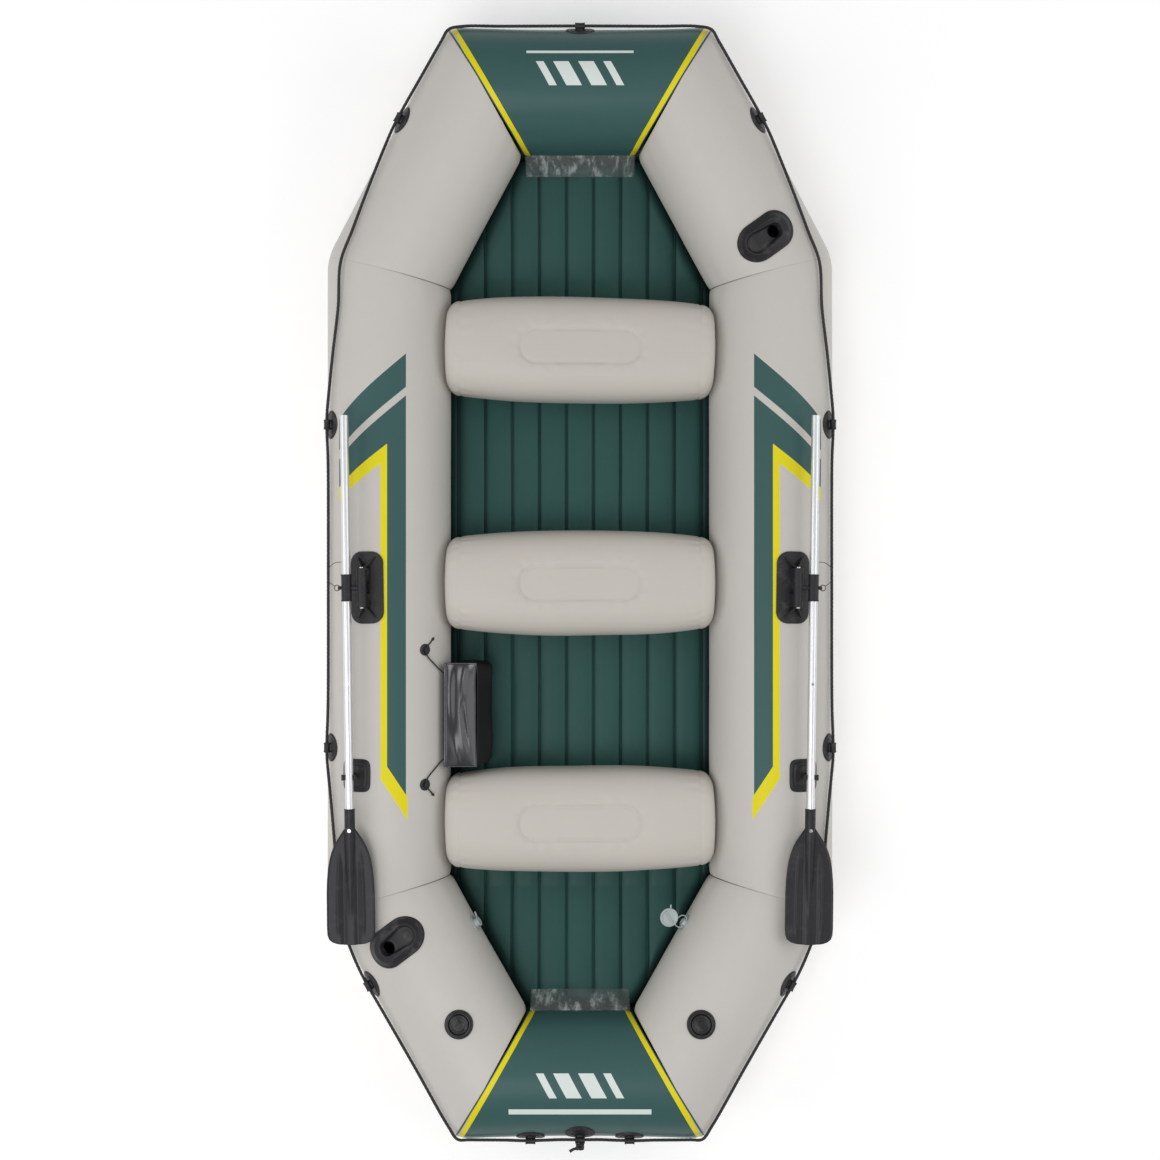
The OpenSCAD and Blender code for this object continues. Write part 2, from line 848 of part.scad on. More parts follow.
module valve_cap(s) {
    at_valve(s) {
        disc(cap_r, r + seat_h + 2.2, r + seat_h + 6.2);
        ring(throat_r - 0.4, throat_r - 3, r - 15, r + seat_h + 3);
        translate([-cap_r + 4, -3.5, r + seat_h + 6])
            cube([2 * cap_r - 8, 7, 7]);
    }
}

module inner_valve(s) {
    i = s == 0 ? PORT_STERN : STARBOARD_STERN;
    difference() {
        union() {
            difference() {
                union() {
                    intersection() {
                        at_drain(s) disc(drain_r, r - 20, r + 20);
                        bar(i, r + bond_gap + 2, 0);
                    }
                    at_drain(s) disc(drain_neck + 2, r - 4, r + 11);
                }
                bar(i, r + bond_gap, 0);
            }
            at_drain(s) disc(drain_neck, r - 15, r + 2);
        }
        at_drain(s) disc(drain_neck - 2, r - 20, r + 20);
    }
}

// To port the plug is in its valve; to starboard it is out, and hangs by its strap
module inner_valve_plug(s) {
    lid_r = 27;
    reach = 54;
    at_drain(s) {
        if (s == 0) {
            disc(drain_neck - 2.1, r - 6, r + 12);
            disc(drain_neck + 5, r + 11.2, r + 15);
            translate([drain_neck + 3, -3, r + 11.2])
                cube([14, 6, 2]);
        } else {
            translate([9, 10, r + reach])
                rotate([-90, 0, 0]) {
                    disc(lid_r, 0, 7);
                    disc(drain_neck - 2.1, -7, 1);
                }
            for (side = [-1, 1])
                translate([side * 14 - 2, 12.5, r + 2.6])
                    cube([4, 3, reach - lid_r + 8]);
            translate([-16, 12.5, r + 2.6])
                cube([32, 3, 3]);
        }
    }
}

// ---- Seats ----

function seat_y(k) = [bow_seat_y, 0, -stern_seat_y][k];
seat_half = mid_x - r - seat_gap;
seat_low = floor_top + rest_gap;

module seat_form(inset) {
    z1 = seat_low + inset;
    z2 = seat_top - inset;
    x = seat_half - inset;
    wide = x + seat_bulge;
    intersection() {
        translate([-hull_w / 2, 0, 0])
            rotate([90, 0, 90])
                translate([0, (z1 + z2) / 2, 0])
                    round_plate(seat_w - 2 * inset, z2 - z1, seat_r - inset, hull_w);
        rotate([90, 0, 0])
            translate([0, 0, -seat_w])
                linear_extrude(2 * seat_w)
                    polygon([[-x + 6, z1 - 1], [x - 6, z1 - 1], [x, z1 + 50], [x, r + 35],
                        [wide, r + 88], [wide, z2 - 40], [wide - 10, z2 + 1],
                        [-wide + 10, z2 + 1], [-wide, z2 - 40], [-wide, r + 88],
                        [-x, r + 35], [-x, z1 + 50]]);
    }
}

// The seat's valve looks aft and down from its lower edge
module at_seat_valve(k) {
    translate([250, seat_y(k) - seat_w / 2 + seat_r, seat_low + seat_r])
        rotate([135, 0, 0])
            children();
}

module seat(k) {
    color(BEIGE)
        difference() {
            translate([0, seat_y(k), 0])
                difference() {
                    seat_form(0);
                    seat_form(soft_t);
                }
            at_seat_valve(k) disc(6.2, seat_r - 20, seat_r + 10);
        }
}

module seat_valve(k) {
    color(WHITE)
        at_seat_valve(k) {
            disc(14, seat_r + 0.3, seat_r + 1.8);
            disc(8, seat_r + 1.5, seat_r + 7);
            disc(6, seat_r - 12, seat_r + 1);
        }
}

// ---- Pouch ----

// The pouch's section, from its rim down: outer top, outer side, bottom, inner side, inner top
pouch_out = mid_x - r;
flap_w = 97;
POUCH_SECTION = [[14, pouch_top], [-8, pouch_top - 59], [-8, floor_top + rest_gap],
    [-118, floor_top + rest_gap], [-126, pouch_top - 60], [-84, pouch_top]];

module pouch_prism(inset, length, rise) {
    mid_u = -52;
    mid_v = (pouch_top + floor_top) / 2;
    translate([0, length / 2 - pouch_y, 0])
        rotate([90, 0, 0])
            linear_extrude(length)
                polygon([for (p = POUCH_SECTION)
                    [-pouch_out - p[0] + (p[0] > mid_u ? inset : -inset),
                        p[1] > mid_v ? p[1] + (p[1] == pouch_top ? rise : 0)
                        : p[1] + inset]]);
}

module pouch() {
    color(BLACK)
        difference() {
            pouch_prism(0, pouch_l, 0);
            pouch_prism(pouch_t, pouch_l - 2 * pouch_t, 1);
        }
}

flap_axis = [-pouch_out - 14, pouch_top + side_gap + flap_t / 2];

module pouch_flap() {
    length = pouch_l + 6;
    color(BLACK)
        translate([flap_axis[0], -pouch_y, flap_axis[1]]) {
            y_bar(flap_t / 2, -length / 2, length / 2);
            translate([0, -length / 2, -flap_t / 2])
                cube([flap_w, length, flap_t]);
        }
}

eyelet_roll = -40;
eyelet_along = [0.394, 0.181];

module pouch_eyelets() {
    color(BLACK)
        for (a = eyelet_along)
            difference() {
                union() {
                    on_skin(PORT_SIDE, bond_gap, bond_gap + patch_t)
                        at_tube(PORT_SIDE, a, eyelet_roll) disc(17, r - 10, r + 10);
                    at_tube(PORT_SIDE, a, eyelet_roll)
                        translate([0, 0, r + 1.5])
                            round_plate(9, 13, 4, 8);
                }
                at_tube(PORT_SIDE, a, eyelet_roll)
                    translate([0, 0, r + 5.5])
                        x_bar(tie_r + 0.5, -20, 20);
            }
}

// A tie cord: its tail, through its eyelet, then down to the pouch's outer wall,
// as place along the tube from the eyelet, roll and height of the cord's middle
TIE_ROUTE = [[34, -50, 3], [16, -44, 4.5], [6, -40.2, 5.5], [-6, -39.9, 5.5],
    [-20, -42, 6], [-42, -50, 5.5], [-60, -57, 7], [-70, -60.6, 11.6]];

module pouch_cords() {
    color(BLACK)
        for (k = [0, 1])
            swept([for (p = TIE_ROUTE)
                let (shift = (k == 0 ? p[0] : -p[0]) / norm(run(PORT_SIDE)))
                on_hull(PORT_SIDE, eyelet_along[k] + shift, p[1], r + p[2])], tie_r, 8);
}

// ---- The parts ----

for (i = [0:7])
    color(i == BOW || i == STERN ? GREEN : BEIGE) hull_tube(i);
air_baffles();
hull_bottom();
air_floor();
floor_beams();
splash_films();
rope_holders();
tow_fitting();
grab_line();
grab_line_knot();
pouch();
pouch_flap();
pouch_eyelets();
pouch_cords();
for (s = [0, 1]) {
    rod_holder(s);
    color(BLACK) on_side(s) rowlock_base();
    color(METAL) on_side(s) rowlock_pin();
    color(BLACK) on_side(s) oar_clasp();
    color(BLACK) valve_seat(s);
    color(WHITE) valve_gasket(s);
    color(BLACK) valve_cap(s);
    color(WHITE) inner_valve(s);
    color(WHITE) inner_valve_plug(s);
    color(BLACK) on_side(s) oarlock();
    color(METAL) on_side(s) lock_ring();
    color(BLACK) on_side(s) oar_collar();
    color(METAL) on_side(s) oar_upper_shaft();
    color(METAL) on_side(s) oar_lower_shaft();
    color(BLACK) on_side(s) oar_blade();
    color(METAL) on_side(s) oar_pins();
}
for (k = [0:2]) {
    seat(k);
    seat_valve(k);
}
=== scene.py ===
"""Looks for a four-person inflatable boat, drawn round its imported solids.

Metres, with +Y to the bow, +X to starboard and the ground at z = 0.
"""

import math

import bmesh
import bpy
import numpy as np
from mathutils import Matrix, Vector, noise


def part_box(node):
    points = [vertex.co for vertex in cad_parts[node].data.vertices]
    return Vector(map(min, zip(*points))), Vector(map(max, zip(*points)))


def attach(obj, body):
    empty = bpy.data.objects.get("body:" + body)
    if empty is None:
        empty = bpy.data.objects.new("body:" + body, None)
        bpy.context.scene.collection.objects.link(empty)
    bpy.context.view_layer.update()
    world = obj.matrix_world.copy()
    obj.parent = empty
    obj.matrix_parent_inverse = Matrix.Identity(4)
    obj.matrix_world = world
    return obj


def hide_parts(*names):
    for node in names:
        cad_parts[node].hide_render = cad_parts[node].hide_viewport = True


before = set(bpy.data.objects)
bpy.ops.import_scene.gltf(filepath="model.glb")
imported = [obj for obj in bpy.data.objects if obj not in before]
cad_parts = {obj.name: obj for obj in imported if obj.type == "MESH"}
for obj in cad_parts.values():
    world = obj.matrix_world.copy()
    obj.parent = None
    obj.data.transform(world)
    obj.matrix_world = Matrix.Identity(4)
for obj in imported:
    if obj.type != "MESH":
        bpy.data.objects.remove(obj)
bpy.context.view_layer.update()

# ---------------------------------------------------------------- the boat's sizes

HULL_L = 3.200
HULL_W = 1.480
TUBE_R = 0.180
SIDE_L = 1.910
BOW_W = 0.756
STERN_W = 0.716
END_LIFT = 0.085
BEAM_PITCH = 0.0808
# The working gap a glued part keeps above the skin below it
GLUE = 0.0003

SIDES = ("port", "starboard")
PORT_SIDE, PORT_BOW, BOW, STARBOARD_BOW = 0, 1, 2, 3
STARBOARD_SIDE, STARBOARD_STERN, STERN, PORT_STERN = 4, 5, 6, 7
TUBES = (
    "port_side_tube", "port_bow_tube", "bow_tube", "starboard_bow_tube",
    "starboard_side_tube", "starboard_stern_tube", "stern_tube", "port_stern_tube",
)

BOW_TURN = math.atan2(HULL_W - BOW_W, HULL_L - SIDE_L)
STERN_TURN = math.atan2(HULL_W - STERN_W, HULL_L - SIDE_L)


def shoulder(turn, inset):
    """Where the side meets the quarter tube, along the boat, on a line moved in by inset."""
    return SIDE_L / 2 - inset * math.tan(turn / 2)


def end_half(turn, width, inset):
    """Half the width of the bow or stern, on a line moved in by inset."""
    return width / 2 - inset * math.tan((math.pi / 2 - turn) / 2)


MID_X = HULL_W / 2 - TUBE_R
END_Y = HULL_L / 2 - TUBE_R
BOW_SHOULDER = shoulder(BOW_TURN, TUBE_R)
STERN_SHOULDER = shoulder(STERN_TURN, TUBE_R)
BOW_HALF = end_half(BOW_TURN, BOW_W, TUBE_R)
STERN_HALF = end_half(STERN_TURN, STERN_W, TUBE_R)
END_Z = TUBE_R + END_LIFT
CORNERS = np.array([
    (-MID_X, -STERN_SHOULDER, TUBE_R), (-MID_X, BOW_SHOULDER, TUBE_R),
    (-BOW_HALF, END_Y, END_Z), (BOW_HALF, END_Y, END_Z),
    (MID_X, BOW_SHOULDER, TUBE_R), (MID_X, -STERN_SHOULDER, TUBE_R),
    (STERN_HALF, -END_Y, END_Z), (-STERN_HALF, -END_Y, END_Z),
])


def unit(v):
    v = np.asarray(v, float)
    return v / np.linalg.norm(v)


def corner(i):
    return CORNERS[i % 8]


def ahead(i):
    return unit(corner(i + 1) - corner(i))


def upward(i):
    a = ahead(i)
    return unit(np.array((0, 0, 1.0)) - a * a[2])


def outward(i):
    return np.cross(upward(i), ahead(i))


def radial(i, roll):
    """The way straight out of tube i at a roll in radians, outboard being positive."""
    return outward(i) * math.sin(roll) + upward(i) * math.cos(roll)


def on_axis(i, along):
    return corner(i) + along * (corner(i + 1) - corner(i))


def on_tube(i, along, roll_deg, rad):
    return on_axis(i, along) + rad * radial(i, math.radians(roll_deg))


def tube_axes(i, roll_deg):
    """A fitting's axes: along the tube, round it, and straight out of it."""
    x, z = ahead(i), radial(i, math.radians(roll_deg))
    return x, np.cross(z, x), z


def framed(centre, x, y, z):
    """A function that sets a point by its distances from a centre along three axes."""
    def place(u, v, w):
        return centre + x * u + y * v + z * w

    return place


def turn_at(j):
    """The angle in radians between the two tubes that meet at corner j."""
    return math.acos(float(np.dot(ahead(j - 1), ahead(j))))


def glued_height(v):
    """How high above a tube's axis a glued part lies, at v from the tube's crown."""
    return math.sqrt((TUBE_R + GLUE) ** 2 - v * v)


# ---------------------------------------------------------------- mesh helpers


def ramp(value):
    return max(0.0, min(1.0, value))


def step(value, low, high):
    t = ramp((value - low) / (high - low))
    return t * t * (3 - 2 * t)


def hump(value, middle, width):
    """A smooth bump of height 1 about a middle."""
    return math.exp(-((value - middle) / width) ** 2)


def circle(count):
    """The angles of count even steps round a circle."""
    return [2 * math.pi * k / count for k in range(count)]


def squared(angle, power):
    """A point of the unit circle, squared off by a power below 1."""
    c, s = math.cos(angle), math.sin(angle)
    return math.copysign(abs(c) ** power, c), math.copysign(abs(s) ** power, s)


def add_object(name, data):
    thing = bpy.data.objects.new(name, data)
    bpy.context.scene.collection.objects.link(thing)
    return thing


def store_values(mesh, name, values):
    """Keeps one number for every point of a mesh."""
    mesh.attributes.new(name, "FLOAT", "POINT").data.foreach_set("value", values)


def thicken(piece, thickness, offset):
    wall = piece.modifiers.new("thickness", "SOLIDIFY")
    wall.thickness = thickness
    wall.offset = offset


def make_piece(name, points, faces, smooth=True, merge=0.0):
    """A mesh object at the origin, with its place in its points and its faces outwards."""
    mesh = bpy.data.meshes.new(name)
    mesh.from_pydata([tuple(map(float, p)) for p in points], [], faces)
    shape = bmesh.new()
    shape.from_mesh(mesh)
    if merge:
        bmesh.ops.remove_doubles(shape, verts=shape.verts, dist=merge)
    bmesh.ops.recalc_face_normals(shape, faces=shape.faces)
    shape.to_mesh(mesh)
    shape.free()
    mesh.polygons.foreach_set("use_smooth", [smooth] * len(mesh.polygons))
    return add_object(name, mesh)


def band_faces(rings, around, first=0):
    """Quads between rings of equal size."""
    return [
        (first + a * around + b, first + a * around + (b + 1) % around,
         first + (a + 1) * around + (b + 1) % around, first + (a + 1) * around + b)
        for a in range(rings - 1) for b in range(around)
    ]


def grid_faces(rows, cols):
    """Quads of a sheet of rows * cols cells, its points counted along one row after another."""
    row = cols + 1
    return [(a, a + 1, a + row + 1, a + row) for r in range(rows) for a in range(r * row, r * row + cols)]


def ring_strip(rings, capped=True):
    """Points and faces of rings joined end to end, with a fan over each end."""
    around = len(rings[0])
    points = [p for ring in rings for p in ring]
    faces = band_faces(len(rings), around)
    if capped:
        for start, ring in ((0, rings[0]), (len(points) - around, rings[-1])):
            middle = len(points)
            points.append(np.mean(ring, axis=0))
            faces += [(start + b, start + (b + 1) % around, middle) for b in range(around)]
    return points, faces


def add_part(store, points, faces):
    """Adds points and faces to a growing (points, faces) pair."""
    base = len(store[0])
    store[0].extend(points)
    store[1].extend(tuple(base + k for k in f) for f in faces)


def soften(piece, width, segments, angle):
    """A small round on a piece's hard edges."""
    bevel = piece.modifiers.new("edges", "BEVEL")
    bevel.width = width
    bevel.segments = segments
    bevel.limit_method = "ANGLE"
    bevel.angle_limit = math.radians(angle)
    return piece


def smooth_path(points, pitch):
    """Points at an even pitch along a smooth curve through the given ones."""
    p = np.array(points, float)
    p = np.vstack([2 * p[0] - p[1], p, 2 * p[-1] - p[-2]])
    out = []
    for k in range(1, len(p) - 2):
        a, b, c, d = p[k - 1], p[k], p[k + 1], p[k + 2]
        count = max(2, int(np.linalg.norm(c - b) / pitch * 4))
        knots = [0.0]
        for s, e in ((a, b), (b, c), (c, d)):
            knots.append(knots[-1] + max(np.linalg.norm(e - s), 1e-6) ** 0.5)
        t0, t1, t2, t3 = knots
        for t in np.linspace(t1, t2, count, endpoint=False):
            a1 = (t1 - t) / (t1 - t0) * a + (t - t0) / (t1 - t0) * b
            a2 = (t2 - t) / (t2 - t1) * b + (t - t1) / (t2 - t1) * c
            a3 = (t3 - t) / (t3 - t2) * c + (t - t2) / (t3 - t2) * d
            b1 = (t2 - t) / (t2 - t0) * a1 + (t - t0) / (t2 - t0) * a2
            b2 = (t3 - t) / (t3 - t1) * a2 + (t - t1) / (t3 - t1) * a3
            out.append((t2 - t) / (t2 - t1) * b1 + (t - t1) / (t2 - t1) * b2)
    out.append(p[-2])
    out = np.array(out)
    run = np.concatenate([[0], np.cumsum(np.linalg.norm(np.diff(out, axis=0), axis=1))])
    marks = np.linspace(0, run[-1], max(3, int(run[-1] / pitch) + 1))
    return np.column_stack([np.interp(marks, run, out[:, k]) for k in range(3)])


def swept_tube(path, radius, around=12, strands=0, lay=0.03):
    """Rings along a path; with strands, the section is that of a laid rope."""
    path = np.array(path, float)
    way = np.gradient(path, axis=0)
    rings, u, gone = [], None, 0.0
    for k, (p, w) in enumerate(zip(path, way)):
        w = unit(w)
        if u is None:
            u = unit(np.cross(w, (0, 0, 1) if abs(w[2]) < 0.9 else (1, 0, 0)))
        u = unit(u - w * np.dot(u, w))
        v = np.cross(w, u)
        if k:
            gone += np.linalg.norm(p - path[k - 1])
        ring = []
        for a in circle(around):
            r = radius(k) if callable(radius) else radius
            if strands:
                r *= 1 - 0.16 * (1 - abs(math.cos(strands / 2 * (a - 2 * math.pi * gone / lay))))
            ring.append(p + r * (u * math.cos(a) + v * math.sin(a)))
        rings.append(ring)
    return ring_strip(rings)


def lumps(p, size, depth, seed=0.0):
    """Soft unevenness: a smooth random height at a point."""
    q = Vector((p[0] / size + seed, p[1] / size - seed, p[2] / size + 2 * seed))
    return depth * noise.noise(q)


# ---------------------------------------------------------------- shader helpers


class Wiring:
    """Short words for building a node tree."""

    def __init__(self, tree):
        self.tree = tree

    def node(self, kind, **settings):
        n = self.tree.nodes.new(kind)
        for key, value in settings.items():
            setattr(n, key, value)
        return n

    def put(self, socket, value):
        if isinstance(value, bpy.types.NodeSocket):
            self.tree.links.new(value, socket)
        else:
            socket.default_value = value

    def math(self, operation, a, b=None, c=None):
        n = self.node("ShaderNodeMath", operation=operation)
        for k, value in enumerate((a, b, c)):
            if value is not None:
                self.put(n.inputs[k], value)
        return n.outputs[0]

    def both(self, *masks):
        out = masks[0]
        for m in masks[1:]:
            out = self.math("MULTIPLY", out, m)
        return out

    def either(self, *masks):
        out = masks[0]
        for m in masks[1:]:
            out = self.math("MAXIMUM", out, m)
        return out

    def flip(self, mask):
        return self.math("SUBTRACT", 1.0, mask)

    def under_line(self, y, s, at_zero, slope):
        """1 where y is below the line at_zero + slope * s."""
        return self.math("LESS_THAN", y, self.math("MULTIPLY_ADD", s, slope, at_zero))

    def between(self, value, low, high):
        return self.both(self.math("GREATER_THAN", value, low), self.math("LESS_THAN", value, high))

    def within(self, value, half):
        """1 where value lies less than half to either side of zero."""
        return self.math("LESS_THAN", self.math("ABSOLUTE", value), half)

    def soft_step(self, value, low, high, start=0.0, end=1.0):
        n = self.node("ShaderNodeMapRange", interpolation_type="SMOOTHSTEP")
        for k, v in zip(("Value", "From Min", "From Max", "To Min", "To Max"), (value, low, high, start, end)):
            self.put(n.inputs[k], v)
        return n.outputs["Result"]

    def mix(self, amount, a, b, blend="MIX"):
        n = self.node("ShaderNodeMix", data_type="RGBA", blend_type=blend)
        self.put(n.inputs["Factor"], amount)
        self.put(n.inputs["A"], a)
        self.put(n.inputs["B"], b)
        return n.outputs["Result"]

    def noise(self, where, scale, detail=3.0, rough=0.5):
        n = self.node("ShaderNodeTexNoise")
        self.put(n.inputs["Vector"], where)
        n.inputs["Scale"].default_value = scale
        n.inputs["Detail"].default_value = detail
        n.inputs["Roughness"].default_value = rough
        return n.outputs["Fac"]

    def drawn_noise(self, scale, detail, rough=0.5):
        """Noise with its own scale along each of the boat's axes."""
        n = self.node("ShaderNodeMapping")
        self.put(n.inputs["Vector"], self.place())
        n.inputs["Scale"].default_value = scale
        return self.noise(n.outputs[0], 1.0, detail, rough)

    def attribute(self, name):
        return self.node("ShaderNodeAttribute", attribute_name=name).outputs["Fac"]

    def place(self):
        return self.node("ShaderNodeTexCoord").outputs["Object"]

    def parts(self, vector):
        n = self.node("ShaderNodeSeparateXYZ")
        self.put(n.inputs[0], vector)
        return n.outputs[0], n.outputs[1], n.outputs[2]


def shader_group(name, inputs, outputs):
    """An empty shader group with named sockets: (group, wiring, input node, output node)."""
    group = bpy.data.node_groups.new(name, "ShaderNodeTree")
    for label, kind, value in inputs:
        socket = group.interface.new_socket(label, in_out="INPUT", socket_type=kind)
        if value is not None:
            socket.default_value = value
    for label, kind in outputs:
        group.interface.new_socket(label, in_out="OUTPUT", socket_type=kind)
    w = Wiring(group)
    return group, w, w.node("NodeGroupInput"), w.node("NodeGroupOutput")


FLOAT, COLOR = "NodeSocketFloat", "NodeSocketColor"


def build_coated_cloth():
    """Welded PVC over a woven scrim: uneven colour, faint scuffs, and the scrim's print-through."""
    group, w, i, o = shader_group(
        "Coated cloth",
        [
            ("Color", COLOR, (0.5, 0.5, 0.5, 1)), ("Roughness", FLOAT, 0.45),
            ("Mottle", FLOAT, 0.05), ("Scrim", FLOAT, 0.3),
        ],
        [("Color", COLOR), ("Roughness", FLOAT), ("Height", FLOAT)],
    )
    where = w.place()
    x, y, z = w.parts(where)
    broad = w.noise(where, 3.2, 2.0)
    fine = w.noise(where, 38.0, 4.0, 0.6)
    scuff = w.noise(where, 11.0, 6.0, 0.72)
    shade = w.math("MULTIPLY_ADD", w.math("SUBTRACT", broad, 0.5), i.outputs["Mottle"], 1.0)
    shade = w.math("MULTIPLY_ADD", w.math("SUBTRACT", fine, 0.5), w.math("MULTIPLY", i.outputs["Mottle"], 0.6), shade)
    grey = w.node("ShaderNodeCombineColor")
    for k in range(3):
        w.put(grey.inputs[k], shade)
    w.put(o.inputs["Color"], w.mix(1.0, i.outputs["Color"], grey.outputs[0], "MULTIPLY"))
    dull = w.soft_step(scuff, 0.52, 0.74, 0.0, 0.1)
    w.put(o.inputs["Roughness"], w.math("ADD", i.outputs["Roughness"], dull))
    threads = 1400.0
    warp = w.math("SINE", w.math("MULTIPLY", w.math("ADD", x, w.math("MULTIPLY", z, 0.8)), threads))
    weft = w.math("SINE", w.math("MULTIPLY", w.math("ADD", y, w.math("MULTIPLY", z, 0.3)), threads))
    scrim = w.math("MULTIPLY", w.math("MULTIPLY", warp, weft), i.outputs["Scrim"])
    w.put(o.inputs["Height"], w.math("MULTIPLY_ADD", fine, 0.5, w.math("MULTIPLY", scrim, 0.12)))
    return group


def build_moulded_grain():
    """The fine spark-eroded grain of moulded rubber and plastic, with rubbed high spots."""
    group, w, i, o = shader_group(
        "Moulded grain",
        [
            ("Color", COLOR, (0.03, 0.03, 0.03, 1)), ("Roughness", FLOAT, 0.5),
            ("Grain", FLOAT, 1200.0), ("Wear", FLOAT, 0.3),
        ],
        [("Color", COLOR), ("Roughness", FLOAT), ("Height", FLOAT)],
    )
    where = w.place()
    grain = w.node("ShaderNodeTexVoronoi", feature="SMOOTH_F1")
    w.put(grain.inputs["Vector"], where)
    w.put(grain.inputs["Scale"], i.outputs["Grain"])
    cloud = w.noise(where, 24.0, 5.0, 0.65)
    rubbed = w.math("MULTIPLY", w.soft_step(cloud, 0.5, 0.72), i.outputs["Wear"])
    w.put(o.inputs["Color"], w.mix(rubbed, i.outputs["Color"], (0.16, 0.16, 0.165, 1)))
    w.put(o.inputs["Roughness"], w.math("MULTIPLY_ADD", cloud, 0.14, w.math("SUBTRACT", i.outputs["Roughness"], 0.07)))
    w.put(o.inputs["Height"], grain.outputs["Distance"])
    return group


def build_side_bands():
    """Masks of the green and yellow bands along the side tubes, from place on the boat."""
    group, w, i, o = shader_group("Side bands", [("Tube radius", FLOAT, TUBE_R)], [("Green", FLOAT), ("Yellow", FLOAT)])
    x, y, z = w.parts(w.place())
    side = w.math("SUBTRACT", w.math("ABSOLUTE", x), MID_X)
    roll = w.math("ARCTAN2", side, w.math("SUBTRACT", z, TUBE_R))
    s = w.math("MULTIPLY", roll, i.outputs["Tube radius"])
    wide = w.between(s, -0.066, 0.148)
    first = w.both(w.under_line(y, s, 0.597, -0.86), w.flip(w.under_line(y, s, 0.504, -0.83)))
    below_gap = w.under_line(y, s, 0.479, -0.84)
    yellow_top = w.both(w.math("GREATER_THAN", s, -0.012), w.under_line(y, s, 0.387, -0.76))
    inside = w.both(w.math("GREATER_THAN", s, 0.007), w.under_line(y, s, 0.345, -0.74))
    above_green_tip = w.flip(w.under_line(y, s, -0.503, 1.52))
    above_yellow_tip = w.flip(w.under_line(y, s, -0.567, 1.53))
    second = w.both(below_gap, w.flip(yellow_top), above_green_tip)
    w.put(o.inputs["Green"], w.both(wide, w.either(first, second)))
    leg = w.both(w.either(yellow_top, w.flip(above_green_tip)), w.flip(inside), above_yellow_tip)
    w.put(o.inputs["Yellow"], w.both(w.between(s, -0.071, 0.148), leg))
    return group


COATED = build_coated_cloth()
GRAIN = build_moulded_grain()
BANDS = build_side_bands()

BEIGE = (0.580, 0.556, 0.522, 1)
SEAT_BEIGE = (0.566, 0.538, 0.490, 1)
DARK_GREEN = (0.040, 0.106, 0.101, 1)
FLOOR_GREEN = (0.029, 0.088, 0.079, 1)
YELLOW = (0.78, 0.68, 0.006, 1)
BLACK = (0.013, 0.013, 0.015, 1)
WHITE = (0.42, 0.48, 0.47, 1)


def new_material(name):
    material = bpy.data.materials.new(name)
    material.use_nodes = True
    w = Wiring(material.node_tree)
    principled = next(n for n in material.node_tree.nodes if n.type == "BSDF_PRINCIPLED")
    return material, w, principled


def bump(w, principled, height, distance, strength):
    n = w.node("ShaderNodeBump")
    n.inputs["Strength"].default_value = strength
    n.inputs["Distance"].default_value = distance
    w.put(n.inputs["Height"], height)
    w.put(principled.inputs["Normal"], n.outputs["Normal"])


def from_group(name, group, relief, strength, shine, paint=None, **values):
    """A material that takes colour, roughness and relief from a shader group.

    paint(w, color) may lay print over the plain colour."""
    material, w, p = new_material(name)
    if paint:
        values["Color"] = paint(w, values["Color"])
    g = w.node("ShaderNodeGroup", node_tree=group)
    for label, value in values.items():
        w.put(g.inputs[label], value)
    w.put(p.inputs["Base Color"], g.outputs["Color"])
    w.put(p.inputs["Roughness"], g.outputs["Roughness"])
    p.inputs["Specular IOR Level"].default_value = shine
    bump(w, p, g.outputs["Height"], relief, strength)
    return material, p


def coated(name, color, roughness, mottle=0.07, scrim=0.3, shine=0.25, coat=0.0, paint=None):
    looks = {"Color": color, "Roughness": roughness, "Mottle": mottle, "Scrim": scrim}
    material, p = from_group(name, COATED, 0.0005, 0.6, shine, paint, **looks)
    p.inputs["Coat Weight"].default_value = coat
    p.inputs["Coat Roughness"].default_value = 0.3
    return material


def moulded(name, color, roughness, grain=1200.0, wear=0.25, depth=0.00015, shine=0.4):
    looks = {"Color": color, "Roughness": roughness, "Grain": grain, "Wear": wear}
    return from_group(name, GRAIN, depth, 0.7, shine, **looks)[0]


def paint_sides(w, color):
    g = w.node("ShaderNodeGroup", node_tree=BANDS)
    shade = w.mix(g.outputs["Green"], color, DARK_GREEN)
    shade = w.mix(g.outputs["Yellow"], shade, YELLOW)
    joint = w.soft_step(w.attribute("seam_gap"), 0.0006, 0.0020, 1.0, 0.0)
    return w.mix(w.math("MULTIPLY", joint, 0.22), shade, (0.20, 0.20, 0.17, 1))


# Half the row's height, half its width, and the bars' pitch and share of the pitch
BAR_ROW = (0.034, 0.105, 0.07, 0.62)


def slanted_bars(w, x, y, middle, tall, wide, pitch, share):
    """A row of slanted bars across the boat, at a place along it."""
    rise = w.math("SUBTRACT", y, middle)
    q = w.math("MULTIPLY_ADD", rise, 0.55, x)
    row = w.both(w.within(rise, tall), w.within(q, wide))
    bar = w.math("LESS_THAN", w.math("FRACT", w.math("MULTIPLY_ADD", q, 1 / pitch, 100.5 + share / 2)), share)
    return w.both(row, bar)


